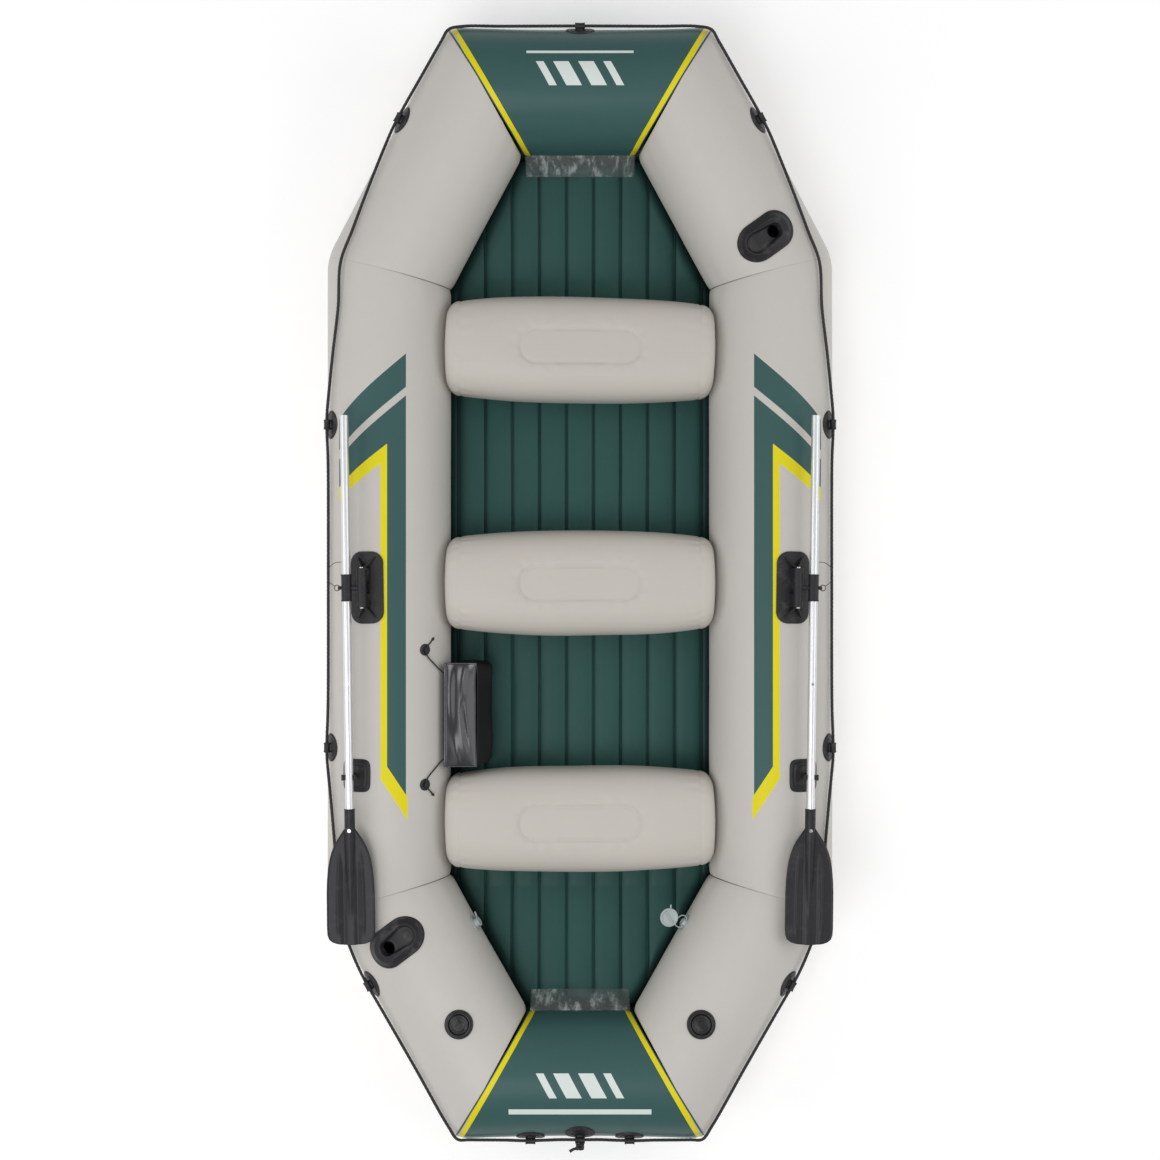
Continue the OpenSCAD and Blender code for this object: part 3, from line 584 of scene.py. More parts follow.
def paint_end_panel(w, color):
    x, y, z = w.parts(w.place())
    gap = w.attribute("seam_gap")
    bow = slanted_bars(w, x, y, 1.425, *BAR_ROW)
    stern = slanted_bars(w, x, y, -1.405, *BAR_ROW)
    line = w.both(w.between(y, 1.484, 1.492), w.within(x, 0.15))
    stern_line = w.both(w.between(y, -1.488, -1.472), w.within(x, 0.2))
    shade = w.mix(w.either(bow, line, stern, stern_line), color, (0.72, 0.78, 0.76, 1))
    shade = w.mix(w.between(gap, 0.0045, 0.0195), shade, YELLOW)
    return w.mix(w.soft_step(gap, 0.001, 0.0025, 0.8, 0.0), shade, (0.02, 0.03, 0.03, 1))


# Painted shadow: the floor's green turns to a near-black green where the stored edge shadow falls to 0, along the
# floor's edges and ends.
def paint_floor_shadow(w, color):
    return w.mix(w.attribute("painted_edge_shadow"), (0.013, 0.038, 0.035, 1), color)


GREEN_CLOTH = {"color": DARK_GREEN, "mottle": 0.12}
CLOTHS = {
    "hull_beige": {"color": BEIGE, "roughness": 0.46, "paint": paint_sides},
    "panel_green": {**GREEN_CLOTH, "roughness": 0.42, "paint": paint_end_panel},
    "bottom_green": {**GREEN_CLOTH, "roughness": 0.5},
    "floor_green": {
        "color": FLOOR_GREEN, "roughness": 0.42, "mottle": 0.16, "scrim": 0.2, "shine": 0.14, "paint": paint_floor_shadow,
    },
    "seat_beige": {"color": SEAT_BEIGE, "roughness": 0.48, "mottle": 0.05},
    "pouch_vinyl": {
        "color": (0.018, 0.019, 0.023, 1), "roughness": 0.22, "mottle": 0.10, "scrim": 0.05, "shine": 0.5, "coat": 0.45,
    },
    "pouch_cloth": {"color": (0.010, 0.010, 0.011, 1), "roughness": 0.62, "mottle": 0.3, "scrim": 1.0},
}
MOULDINGS = {
    "rubber": {"color": BLACK, "roughness": 0.50},
    "oar_plastic": {"color": (0.023, 0.023, 0.027, 1), "roughness": 0.40, "grain": 900.0, "wear": 0.12, "shine": 0.24},
    "valve_plastic": {"color": (0.014, 0.014, 0.015, 1), "roughness": 0.38},
    "vinyl_white": {"color": WHITE, "roughness": 0.32, "wear": 0.0, "depth": 0.00008},
}


def build_materials():
    m = {name: coated(name, **looks) for name, looks in CLOTHS.items()}
    m.update({name: moulded(name, **looks) for name, looks in MOULDINGS.items()})

    rope, w, p = new_material("rope_cord")
    strand = w.noise(w.place(), 420.0, 3.0)
    w.put(p.inputs["Base Color"], w.mix(strand, (0.008, 0.008, 0.009, 1), (0.035, 0.035, 0.038, 1)))
    p.inputs["Roughness"].default_value = 0.7
    bump(w, p, strand, 0.0006, 0.8)
    m["rope_cord"] = rope

    metal, w, p = new_material("shaft_aluminium")
    drawn = w.drawn_noise((700.0, 3.0, 700.0), 3.0)
    w.put(p.inputs["Base Color"], w.mix(drawn, (0.66, 0.67, 0.68, 1), (0.78, 0.79, 0.80, 1)))
    w.put(p.inputs["Roughness"], w.soft_step(drawn, 0.3, 0.7, 0.30, 0.42))
    p.inputs["Metallic"].default_value = 0.75
    bump(w, p, drawn, 0.0001, 0.35)
    m["shaft_aluminium"] = metal

    wire, w, p = new_material("bright_wire")
    w.put(p.inputs["Roughness"], w.soft_step(w.noise(w.place(), 90.0), 0.3, 0.7, 0.18, 0.34))
    w.put(p.inputs["Base Color"], w.mix(w.noise(w.place(), 45.0), (0.55, 0.55, 0.56, 1), (0.70, 0.70, 0.71, 1)))
    p.inputs["Metallic"].default_value = 1.0
    m["bright_wire"] = wire

    black_wire, w, p = new_material("dark_wire")
    cloud = w.noise(w.place(), 60.0)
    w.put(p.inputs["Base Color"], w.mix(cloud, (0.010, 0.010, 0.011, 1), (0.030, 0.030, 0.032, 1)))
    w.put(p.inputs["Roughness"], w.soft_step(w.noise(w.place(), 120.0), 0.3, 0.7, 0.35, 0.55))
    m["dark_wire"] = black_wire

    film, w, p = new_material("clear_film")
    # Painted highlight: where the stretched noise is high the film turns whitish and nearly opaque, standing in for
    # streaks of reflected light; the same noise bumps its wrinkles.
    wrinkle_and_painted_highlight = w.drawn_noise((34.0, 9.0, 9.0), 4.0, 0.7)
    w.put(p.inputs["Base Color"], w.mix(wrinkle_and_painted_highlight, (0.30, 0.36, 0.35, 1), (0.76, 0.81, 0.79, 1)))
    w.put(p.inputs["Alpha"], w.soft_step(wrinkle_and_painted_highlight, 0.48, 0.72, 0.13, 0.78))
    p.inputs["Roughness"].default_value = 0.12
    bump(w, p, wrinkle_and_painted_highlight, 0.003, 0.5)
    m["clear_film"] = film

    ground, w, p = new_material("pale_floor")
    p.inputs["Base Color"].default_value = (0.95, 0.95, 0.95, 1)
    p.inputs["Roughness"].default_value = 0.9
    p.inputs["Specular IOR Level"].default_value = 0.1
    p.inputs["Emission Color"].default_value = (1, 1, 1, 1)
    p.inputs["Emission Strength"].default_value = 0.22
    m["pale_floor"] = ground
    return m


MATERIALS = build_materials()


def finish_piece(piece, material, body, *replaced):
    """Gives a piece its material, its body and the CAD nodes it stands for."""
    piece.data.materials.clear()
    piece.data.materials.append(MATERIALS[material])
    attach(piece, body)
    if replaced:
        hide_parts(*replaced)
    return piece


def finish_node(node, material):
    """Gives a CAD node that stays a finish of its own."""
    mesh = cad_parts[node].data
    mesh.materials.clear()
    mesh.materials.append(MATERIALS[material])


# ---------------------------------------------------------------- camera, lights and ground

CAMERA_AT = (0.0, 0.0087, 5.40)
VIEW_ANGLE = math.radians(36.2)
GROUND_HALF = 30


def set_the_stage():
    scene = bpy.context.scene
    scene.view_settings.view_transform = "Standard"
    lens = bpy.data.cameras.new("camera")
    lens.sensor_width = 36.0
    lens.angle = VIEW_ANGLE
    camera = add_object("camera", lens)
    camera.location = CAMERA_AT
    scene.camera = camera

    square = [(x * GROUND_HALF, y * GROUND_HALF, 0) for x, y in ((-1, -1), (1, -1), (1, 1), (-1, 1))]
    ground = make_piece("ground", square, [(0, 1, 2, 3)], smooth=False)
    ground.data.materials.append(MATERIALS["pale_floor"])

    world = bpy.data.worlds.new("studio")
    world.use_nodes = True
    sky = world.node_tree.nodes["Background"]
    sky.inputs["Color"].default_value = (1.0, 1.0, 1.0, 1)
    sky.inputs["Strength"].default_value = 0.36
    scene.world = world
    for name, place, size, power in (
        ("key", (-1.5, -2.2, 6.6), 3.2, 140.0),
        ("fill", (2.2, 2.6, 6.4), 4.5, 35.0),
        ("port_side", (-4.6, 0.0, 3.6), 4.0, 80.0),
        ("starboard_side", (4.6, 0.0, 3.6), 4.0, 80.0),
    ):
        lamp = bpy.data.lights.new(name, "AREA")
        lamp.size = size
        lamp.energy = power
        holder = add_object(name, lamp)
        holder.location = place
        holder.rotation_euler = (-Vector(place)).to_track_quat("-Z", "Y").to_euler()


set_the_stage()

# ---------------------------------------------------------------- grab line and cords

WAIST = 0.009
LINE_R = 0.0045
TOW_ROLL = 52.0
TOW_OFFSET = 0.022
EYE_HEIGHT = 0.013
TOW_RAD = math.hypot(TOW_OFFSET, TUBE_R + EYE_HEIGHT)
TOW_LINE_ROLL = TOW_ROLL + math.degrees(math.atan2(TOW_OFFSET, TUBE_R + EYE_HEIGHT))
TOW_HEIGHT = (TOW_RAD - TUBE_R) * 1000
# Tube, share of the way between its mitres, roll in degrees, and height over the skin in millimetres
LINE_ROUTE = (
    (6, 0.505, TOW_LINE_ROLL, TOW_HEIGHT), (6, 0.53, TOW_LINE_ROLL, TOW_HEIGHT),
    (6, 0.58, 60, 13), (6, 0.66, 63, 13), (6, 0.73, 63, 13), (6, 0.8, 62.5, 11),
    (6, 0.95, 61, 8), (6, 1, 59, 6.5), (7, 0.05, 61, 8), (7, 0.3, 62, 9),
    (7, 0.6, 63, 12), (7, 0.64, 63, 13), (7, 0.69, 63, 13), (7, 0.76, 61, 12),
    (7, 0.88, 53.5, 10), (7, 1, 46.5, 9), (0, 0.08, 49, 9), (0, 0.15, 54, 10), (0, 0.21, 61, 11), (0, 0.235, 63, 13),
    (0, 0.265, 63, 13), (0, 0.31, 63, 10), (0, 0.5, 63, 9), (0, 0.69, 63, 10),
    (0, 0.725, 63, 13), (0, 0.755, 63, 13), (0, 0.79, 59.5, 11.5), (0, 0.85, 52.5, 10),
    (0, 0.92, 44.8, 9), (1, 0, 37.2, 8.5), (1, 0.14, 43, 9), (1, 0.3, 50.5, 10), (1, 0.45, 58, 11.5), (1, 0.56, 63, 13),
    (1, 0.65, 63, 13), (1, 0.8, 61, 11), (1, 0.95, 60, 8), (1, 1, 59, 6.5),
    (2, 0.05, 61, 8), (2, 0.2, 63, 10), (2, 0.46, 63, 13), (2, 0.5, 63, 13),
)


def waist_at(share, roll, waist):
    """How far the drawn-in middle of an end tube stands inside its plain round."""
    return waist * max(0.0, math.sin(math.pi * share)) ** 0.7 * max(0.0, math.sin(roll)) ** 2


def line_point(tube, share, roll, height):
    rad = TUBE_R + height / 1000
    side = rad * math.sin(math.radians(roll))
    length = np.linalg.norm(corner(tube + 1) - corner(tube))

    def past(j):
        return side * math.tan(turn_at(j) / 2) / length

    start, end = -past(tube), 1 + past(tube + 1)
    if tube in (BOW, STERN):
        rad -= waist_at(share, math.radians(roll), WAIST)
    return on_tube(tube, start + share * (end - start), roll, rad)


def make_grab_line():
    port = [line_point(*p) for p in LINE_ROUTE]
    starboard = [line_point((12 - t) % 8, 1 - share, *rest) for t, share, *rest in reversed(LINE_ROUTE[:-1])]
    path = smooth_path(port + starboard, 0.006)
    points, faces = swept_tube(path, LINE_R * 1.02, 12, strands=3, lay=0.034)
    finish_piece(make_piece("grab_line_rope", points, faces), "rope_cord", "hull", "grab_line")


KNOT_TAIL = ((0, 0, 0), (0.010, 0.002, 0.004), (0.021, -0.002, 0.009), (0.029, 0, 0.0135))


def make_line_knot():
    """The line's two ends, wound into one knot below the tow eye, with a short tail."""
    x, y, z = tube_axes(STERN, TOW_LINE_ROLL)
    sunk = waist_at(0.5, math.radians(TOW_LINE_ROLL), WAIST)
    middle = on_tube(STERN, 0.5, TOW_LINE_ROLL, TOW_RAD + 0.0193 - sunk)
    at = framed(middle, x, y, z)
    store = ([], [])
    winding = []
    for k in range(90):
        a = 2 * math.pi * k / 30
        swing = 0.0062 + 0.0012 * math.sin(2.5 * a)
        winding.append(at(0.0085 * math.sin(a * 1.5 + 0.4), swing * math.cos(a), swing * math.sin(a)))
    add_part(store, *swept_tube(winding, 0.0040, strands=3))
    tail = smooth_path([at(*p) for p in KNOT_TAIL], 0.002)
    add_part(store, *swept_tube(tail, lambda k: 0.0042 if k < len(tail) - 3 else 0.0048, strands=3))
    finish_piece(make_piece("line_knot", *store), "rope_cord", "hull", "grab_line_knot")


# Place along the tube from the eyelet in millimetres, roll in degrees, and height in millimetres
TIE_ROUTE = (
    (34, -50, 3), (16, -44, 4.5), (6, -40.2, 5.5), (-6, -39.9, 5.5),
    (-20, -42, 6), (-42, -50, 5.5), (-60, -57, 7), (-70, -60.6, 11.6),
)
EYELET_ALONG = (0.394, 0.181)
TIE_R = 0.0021


def make_tie_cords():
    length = np.linalg.norm(corner(1) - corner(0))
    store = ([], [])
    for way, along in zip((1, -1), EYELET_ALONG):
        path = smooth_path([
            on_tube(PORT_SIDE, along + way * p / 1000 / length, roll, TUBE_R + h / 1000) for p, roll, h in TIE_ROUTE
        ], 0.003)
        add_part(store, *swept_tube(path, TIE_R, 10, strands=2, lay=0.012))
        for k in (2, 14):
            knot = [
                path[k] + 0.0022 * np.array((math.cos(a), math.sin(a), 0.5 * math.sin(2 * a)))
                for a in np.linspace(0, 2 * math.pi, 14)
            ]
            add_part(store, *swept_tube(knot, TIE_R, 8))
    finish_piece(make_piece("pouch_tie_cords", *store), "rope_cord", "hull", "pouch_cords")


make_grab_line()
make_line_knot()
make_tie_cords()

# ---------------------------------------------------------------- hull

ROUNDING = 0.040
# Tube, place along it, and roll in degrees
ROD_HOLDERS = {"port": (PORT_STERN, 0.764, 8.0), "starboard": (STARBOARD_BOW, 0.818, 3.0)}
ROD_TWIST = math.radians(6)
ROD_LEAN = math.radians(25)
ROD_R = 0.0175
# How far the socket's mouth lies from the flange's middle, and the opening cut for it in the skin
ROD_MOUTH = 0.022
ROD_OPENING = 0.028


def seam_normal(j):
    return unit(ahead(j - 1) + ahead(j))


def tube_skin(i, rings, around, waist=0.0):
    """One inflated tube from mitre to mitre: (rings of points, distance of each from its nearest seam).

    The skin rounds over at each mitre, draws in along the weld itself, and puckers beside it
    on the shorter inner side. A waist pulls the outboard side of an end tube in between its mitres."""
    a, length = ahead(i), np.linalg.norm(corner(i + 1) - corner(i))
    ends = (seam_normal(i), seam_normal(i + 1))
    half_turns = [math.tan(0.5 * turn_at(j)) for j in (i, i + 1)]
    flat_out = unit(np.cross((0, 0, 1.0), a))
    shares = [0.5 - 0.5 * math.cos(math.pi * k / (rings - 1)) for k in range(rings)]
    skin, gaps = [], []
    for share in shares:
        ring, gap_ring = [], []
        for roll in circle(around):
            d = radial(i, roll)
            t0 = -TUBE_R * np.dot(d, ends[0]) / np.dot(a, ends[0])
            t1 = length - TUBE_R * np.dot(d, ends[1]) / np.dot(a, ends[1])
            t = t0 + share * (t1 - t0)
            p = corner(i) + a * t + TUBE_R * d
            seams = ((t - t0) * abs(np.dot(a, ends[0])), (t1 - t) * abs(np.dot(a, ends[1])))
            out = math.sin(roll)
            inner = 0.5 - 0.5 * out
            for g, bend_here, seed in ((seams[0], half_turns[0], i), (seams[1], half_turns[1], i + 1)):
                reach = ROUNDING if out > 0 else 0.6 * ROUNDING
                over = 0.5 * reach * bend_here * max(0.0, 1 - g / reach) ** 2
                fade = math.exp(-g / 0.045)
                pucker = math.sin(9 * roll + 2.6 * math.sin(3 * roll + seed)) * math.sin(5 * roll + 1.7 * seed)
                p = p - flat_out * out * over
                p = p - d * 0.00028 * math.exp(-(g / 0.004) ** 2)
                p = p + d * (0.0030 * pucker * fade * inner ** 2 * (1 - math.exp(-g / 0.012)))
            p = p - d * waist_at(share, roll, waist)
            p = p + d * lumps(p, 0.22, 0.0010, 3.1)
            ring.append(p)
            gap_ring.append(min(seams))
        skin.append(ring)
        gaps.append(gap_ring)
    return skin, gaps


def make_hull_piece(name, tubes, material, rings, around, waist=0.0):
    points, faces, gaps = [], [], []
    for i in tubes:
        count = rings if i in (PORT_SIDE, STARBOARD_SIDE) else rings * 2 // 3
        skin, gap = tube_skin(i, count, around, waist)
        base = len(points)
        points += [p for ring in skin for p in ring]
        gaps += [g for ring in gap for g in ring]
        faces += band_faces(count, around, base)
    holes = []
    for tube, along, roll in ROD_HOLDERS.values():
        x, y, z = tube_axes(tube, roll)
        across = y * math.cos(ROD_TWIST) - x * math.sin(ROD_TWIST)
        holes.append(on_tube(tube, along, roll, TUBE_R) + across * ROD_MOUTH)

    def open_here(face):
        middle = sum(points[k] for k in face) / len(face)
        return any(np.linalg.norm(middle - hole) < ROD_OPENING for hole in holes)

    faces = [tuple(reversed(f)) for f in faces if not open_here(f)]
    mesh = bpy.data.meshes.new(name)
    mesh.from_pydata([tuple(map(float, p)) for p in points], [], faces)
    store_values(mesh, "seam_gap", gaps)
    mesh.polygons.foreach_set("use_smooth", [True] * len(mesh.polygons))
    finish_piece(add_object(name, mesh), material, "hull", *[TUBES[i] for i in tubes])


BEIGE_TUBES = (PORT_SIDE, PORT_BOW, STARBOARD_BOW, STARBOARD_SIDE, STARBOARD_STERN, PORT_STERN)
make_hull_piece("hull_tubes", BEIGE_TUBES, "hull_beige", 110, 110)
make_hull_piece("bow_panel", (BOW,), "panel_green", 90, 120, waist=WAIST)
make_hull_piece("stern_panel", (STERN,), "panel_green", 90, 120, waist=WAIST)

# ---------------------------------------------------------------- floor


def bend(y):
    """How far the floor has risen at a place along the boat."""
    if y > BOW_SHOULDER:
        return (y - BOW_SHOULDER) * END_LIFT / (END_Y - BOW_SHOULDER)
    if y < -STERN_SHOULDER:
        return (-y - STERN_SHOULDER) * END_LIFT / (END_Y - STERN_SHOULDER)
    return 0.0


def plan_half(y, inset):
    """Half the boat's width at a place along it, on a line moved in by inset."""
    side = HULL_W / 2 - inset
    turn, width = (BOW_TURN, BOW_W) if y > 0 else (STERN_TURN, STERN_W)
    start, end = shoulder(turn, inset), HULL_L / 2 - inset
    if abs(y) <= start:
        return side
    share = (abs(y) - start) / (end - start)
    return side + share * (end_half(turn, width, inset) - side)


def make_floor():
    """The air floor: long chambers that swell between the beams that hold its two skins together."""
    low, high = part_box("air_floor")
    inset = HULL_W / 2 - high.x
    y_end = high.y
    bottom, thick = low.z, 0.080
    edge_round = 0.042
    across, along = 264, 420
    middle = bottom + thick / 2
    top, under = [], []
    for r in range(along + 1):
        y = -y_end + 2 * y_end * r / along
        half = plan_half(y, inset)
        for c in range(across + 1):
            x = -high.x + 2 * high.x * c / across
            x = max(-half, min(half, x))
            side_gap = (half - abs(x)) * (math.cos(BOW_TURN) if abs(y) > STERN_SHOULDER else 1.0)
            d = max(0.0, min(edge_round, side_gap, y_end - abs(y)))
            swell = math.sqrt(max(0.0, 1 - (1 - d / edge_round) ** 2))
            wander = 0.0016 * noise.noise(Vector((x * 2, y * 5, 4.0)))
            q = (x + wander) / BEAM_PITCH + 0.5
            part = abs((q - math.floor(q)) - 0.5) * 2
            chamber = math.floor(q)
            crown = math.sqrt(max(0.0, 1 - part ** 2.8))
            fold = 0.0010 * math.sin(y * 150 + 9 * math.sin(y * 21 + chamber * 2.1)) * part ** 5
            fold *= max(0.0, noise.noise(Vector((chamber * 3.7, y * 4, 1.0))) + 0.25)
            depth = 0.0110 + 0.0025 * noise.noise(Vector((chamber * 1.9, y * 2.5, 7.0)))
            h = thick / 2 - depth * (1 - crown) + fold
            lift = bend(y)
            top.append((x, y, middle + lift + h * swell))
            under.append((x, y, middle + lift - h * swell))
    row = across + 1
    faces = []
    for r in range(along):
        for c in range(across):
            a = r * row + c
            faces.append((a, a + 1, a + row + 1, a + row))
            b = a + len(top)
            faces.append((b, b + row, b + row + 1, b + 1))
    piece = make_piece("floor_mat", top + under, faces, merge=0.00002)
    # Painted shadow under the tubes' edges: darkest within 12 mm of the floor's edges and ends, fading out 85 mm in on
    # the port side and 55 mm in on the starboard side.
    painted_shadow = []
    for v in piece.data.vertices:
        gap = min(plan_half(v.co.y, inset) - abs(v.co.x), y_end - abs(v.co.y))
        wide = 0.085 if v.co.x < 0 else 0.055
        painted_shadow.append(step(gap, 0.012, wide))
    store_values(piece.data, "painted_edge_shadow", painted_shadow)
    finish_piece(piece, "floor_green", "hull", "air_floor")


def make_bottom_sheet():
    """The bottom sheet, a little uneven, rising towards bow and stern under the end tubes."""
    low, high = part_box("hull_bottom")
    z = low.z
    across, along = 60, 150
    top = []
    y_end = high.y - 0.001
    for r in range(along + 1):
        y = -y_end + 2 * y_end * r / along
        half = min(plan_half(y, TUBE_R + 0.0585), high.x)
        for c in range(across + 1):
            x = max(-half, min(half, -high.x + 2 * high.x * c / across))
            top.append((x, y, z + 0.0007 + bend(y) + lumps((x, y, 0), 0.3, 0.0005)))
    piece = make_piece("bottom_sheet", top, grid_faces(along, across), merge=0.00002)
    thicken(piece, 0.0012, 0.0)
    finish_piece(piece, "bottom_green", "hull", "hull_bottom")


make_floor()
make_bottom_sheet()

# ---------------------------------------------------------------- seats


def seat_section(angle, half_y, half_z):
    """A point of the seat's rounded section: superellipse, flatter below than above."""
    cu, cv = squared(angle, 2.0 / (3.1 if math.sin(angle) < 0 else 2.75))
    return half_y * cu, half_z * cv


def stadium_distance(x, y, half_l, half_w):
    """Distance from the outline of a round-ended slot: negative inside."""
    straight = half_l - half_w
    return math.hypot(max(0.0, abs(x) - straight), y) - half_w


# The bow cushion lies a little forward of its nominal place
SEAT_SHIFT = {"bow": 0.008, "middle": 0.0, "stern": 0.0}


def make_seat(which, flip, turn_deg):
    """A bolster with sewn-in end panels, pinched along its welded top panel."""
    node = which + "_seat"
    low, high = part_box(node)
    centre = (low + high) / 2
    centre.y += SEAT_SHIFT[which]
    half_x, half_y, half_z = (high.x - low.x) / 2, (high.y - low.y) / 2, (high.z - low.z) / 2
    end_in = 0.046
    body_half = half_x - end_in
    around, long_rings, cap_rings, panel_rings = 220, 200, 12, 10
    seed = {"bow": 0.0, "middle": 3.7, "stern": 8.1}[which]
    turn = math.radians(turn_deg)
    end_size = 0.89

    def section(x, size, seam_gap, side):
        ring = []
        fade = math.exp(-seam_gap / 0.030)
        for a in circle(around):
            y, z = seat_section(a, half_y * size, half_z * (0.35 + 0.65 * size))
            top = max(0.0, math.sin(a)) ** 1.5
            ripple = math.sin(15 * a + 2.2 * math.sin(4 * a + seed) + side) * math.sin(6 * a + seed + 2 * side)
            at_seam = math.exp(-seam_gap / 0.006)
            draw = 1 - 0.012 * at_seam + 0.011 * ripple * fade * (1 - at_seam)
            y, z = y * draw, z * draw
            if z > 0:
                d = stadium_distance(x, y, 0.172, 0.047)
                pressed = 0.0034 * math.exp(-(d / 0.0035) ** 2)
                inside = 0.0042 / (1 + math.exp(d / 0.0035))
                pull = 0.0050 * math.exp(-max(0.0, d) / 0.022)
                bearing = math.atan2(y, abs(x) - 0.127)
                rays = 0.0010 * math.sin(11 * bearing + seed) * math.exp(-((d - 0.016) / 0.013) ** 2)
                z -= top * (pressed + inside + pull * (0.6 if d < 0 else 1) + rays)
            z += lumps((x, y, z), 0.17, 0.0028, seed) * top
            y += lumps((x, y, z), 0.2, 0.0026, seed + 5)
            px, py = flip * x, y
            ring.append((
                centre.x + px * math.cos(turn) - py * math.sin(turn),
                centre.y + px * math.sin(turn) + py * math.cos(turn),
                centre.z + max(z, -half_z),
            ))
        return ring

    def cap(side):
        """From the end seam outwards: a rounded shoulder, then a gently domed panel."""
        out = []
        for k in range(1, cap_rings + 1):
            t = k / cap_rings
            x = side * (body_half + (end_in - 0.006) * math.sin(t * math.pi / 2))
            out.append(section(x, end_size * (1 - 0.32 * (1 - math.cos(t * math.pi / 2))), 0.10 * t, 1.3 * side))
        for k in range(1, panel_rings):
            t = k / panel_rings
            x = side * (half_x - 0.006 + 0.005 * math.sin(t * math.pi / 2))
            out.append(section(x, end_size * 0.68 * (1 - t), 0.10, 1.3 * side))
        return out

    rings = list(reversed(cap(-1)))
    for k in range(long_rings + 1):
        x = -body_half * math.cos(math.pi * (0.05 + 0.90 * k / long_rings)) / math.cos(math.pi * 0.05)
        swell = end_size + (1 - end_size) * max(0.0, 1 - (abs(x) / body_half) ** 2.6)
        rings.append(section(x, swell, body_half - abs(x), 0.0 if x < 0 else 2.0))
    rings += cap(1)
    points, faces = ring_strip(rings)
    piece = make_piece(which + "_seat_cushion", points, faces)
    finish_piece(piece, "seat_beige", node, node)


make_seat("bow", 1, -0.9)
make_seat("middle", -1, 0.1)
make_seat("stern", 1, 0.5)

# ---------------------------------------------------------------- oars

OAR_TOE = math.radians(0.8)


def oar_place(side):
    """Turns points of a starboard oar, about its rowlock's stem, into the boat's frame."""
    low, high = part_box(side + "_oar_collar")
    middle = (low + high) / 2
    sign = -1 if side == "port" else 1

    def place(x, y, z):
        px = x * math.cos(OAR_TOE) + y * math.sin(OAR_TOE)
        py = -x * math.sin(OAR_TOE) + y * math.cos(OAR_TOE)
        return (middle.x + sign * px, middle.y + py, middle.z + z)

    return place


# Distance aft of the rowlock, and half the blade's width there
BLADE_OUTLINE = (
    (0.680, 0.0155), (0.695, 0.026), (0.712, 0.037), (0.730, 0.0465), (0.748, 0.0535),
    (0.770, 0.0595), (0.795, 0.0635), (0.825, 0.0662), (0.860, 0.0678), (0.960, 0.0680),
    (0.980, 0.0668), (0.992, 0.0625), (1.000, 0.053), (1.0045, 0.040), (1.0070, 0.022), (1.0078, 0.004),
)
SOCKET_R = 0.0150
# The blade's sleeve with its rolled lip: distance aft of the rowlock, and radius
SOCKET = (
    (0.624, 0.01215), (0.6238, 0.0145), (0.6245, 0.0154), (0.6275, 0.0154),
    (0.629, 0.0150), (0.70, 0.0150), (0.735, 0.0149), (0.742, 0.0142),
)


def make_blade(side):
    """The moulded blade: a socket that runs into a spine, and pressed ribs either side of it."""
    place = oar_place(side)
    distance, width = zip(*BLADE_OUTLINE)
    rows, cols = 150, 72
    top, under = [], []
    for r in range(rows + 1):
        share = r / rows
        y = distance[0] + (distance[-1] - distance[0]) * (1 - (1 - share) ** 1.6)
        half = float(np.interp(y, distance, width))
        for c in range(cols + 1):
            v = -1 + 2 * c / cols
            x = half * math.sin(v * math.pi / 2)
            past_socket = (y - 0.734) / 0.25
            stock = SOCKET_R * max(0.0, 1 - max(0.0, past_socket)) ** 0.75
            spine = math.sqrt(max(0.0, stock ** 2 - x ** 2)) if abs(x) < stock else 0.0
            sheet = 0.0028 * min(1.0, (half - abs(x)) / 0.0015 + 0.35) if half > abs(x) else 0.001
            rib_at = 0.030 + 0.006 * math.sin((y - 0.75) * 9)
            rib = 0.0034 * math.exp(-((abs(x) - rib_at) / 0.0035) ** 2)
            rib *= ramp((y - 0.745) / 0.03) * ramp((0.985 - y) / 0.03)
            dish = -0.0034 * math.exp(-((abs(x) - 0.019) / 0.0065) ** 2) * ramp((y - 0.76) / 0.05)
            rim = 0.0010 * math.exp(-((half - abs(x) - 0.003) / 0.0018) ** 2)
            above = max(spine, sheet + rib + dish + rim + 0.0012)
            below = max(spine, sheet + 0.6 * rib + rim)
            if abs(v) == 1 or r in (0, rows):
                above = below = 0.0012
            top.append(place(x, -y, above))
            under.append(place(x, -y, -below))
    row = cols + 1
    count = len(top)
    faces = []
    for face in grid_faces(rows, cols):
        a, b, c, d = face
        faces += [face, (count + a, count + d, count + c, count + b)]
    rim_loop = list(range(cols + 1)) + [r * row + cols for r in range(1, rows + 1)]
    rim_loop += [rows * row + c for c in range(cols - 1, -1, -1)] + [r * row for r in range(rows - 1, 0, -1)]
    for a, b in zip(rim_loop, rim_loop[1:] + rim_loop[:1]):
        faces.append((a, b, count + b, count + a))
    store = (top + under, faces)
    rings = [[place(r * math.cos(a), -y, r * math.sin(a)) for a in circle(48)] for y, r in SOCKET]
    add_part(store, [p for ring in rings for p in ring], band_faces(len(rings), 48))
    finish_piece(make_piece(side + "_blade", *store), "oar_plastic", side + "_oar", side + "_oar_blade")


for side_name in SIDES:
    make_blade(side_name)

# ---------------------------------------------------------------- rod holders


# Where the pocket's middle line starts and ends, along the flange
POCKET = (-0.036, 0.024)


def near_segment(u, v, v0, v1):
    """Distance from a line along v, between two ends."""
    return math.hypot(u, v - max(v0, min(v1, v)))


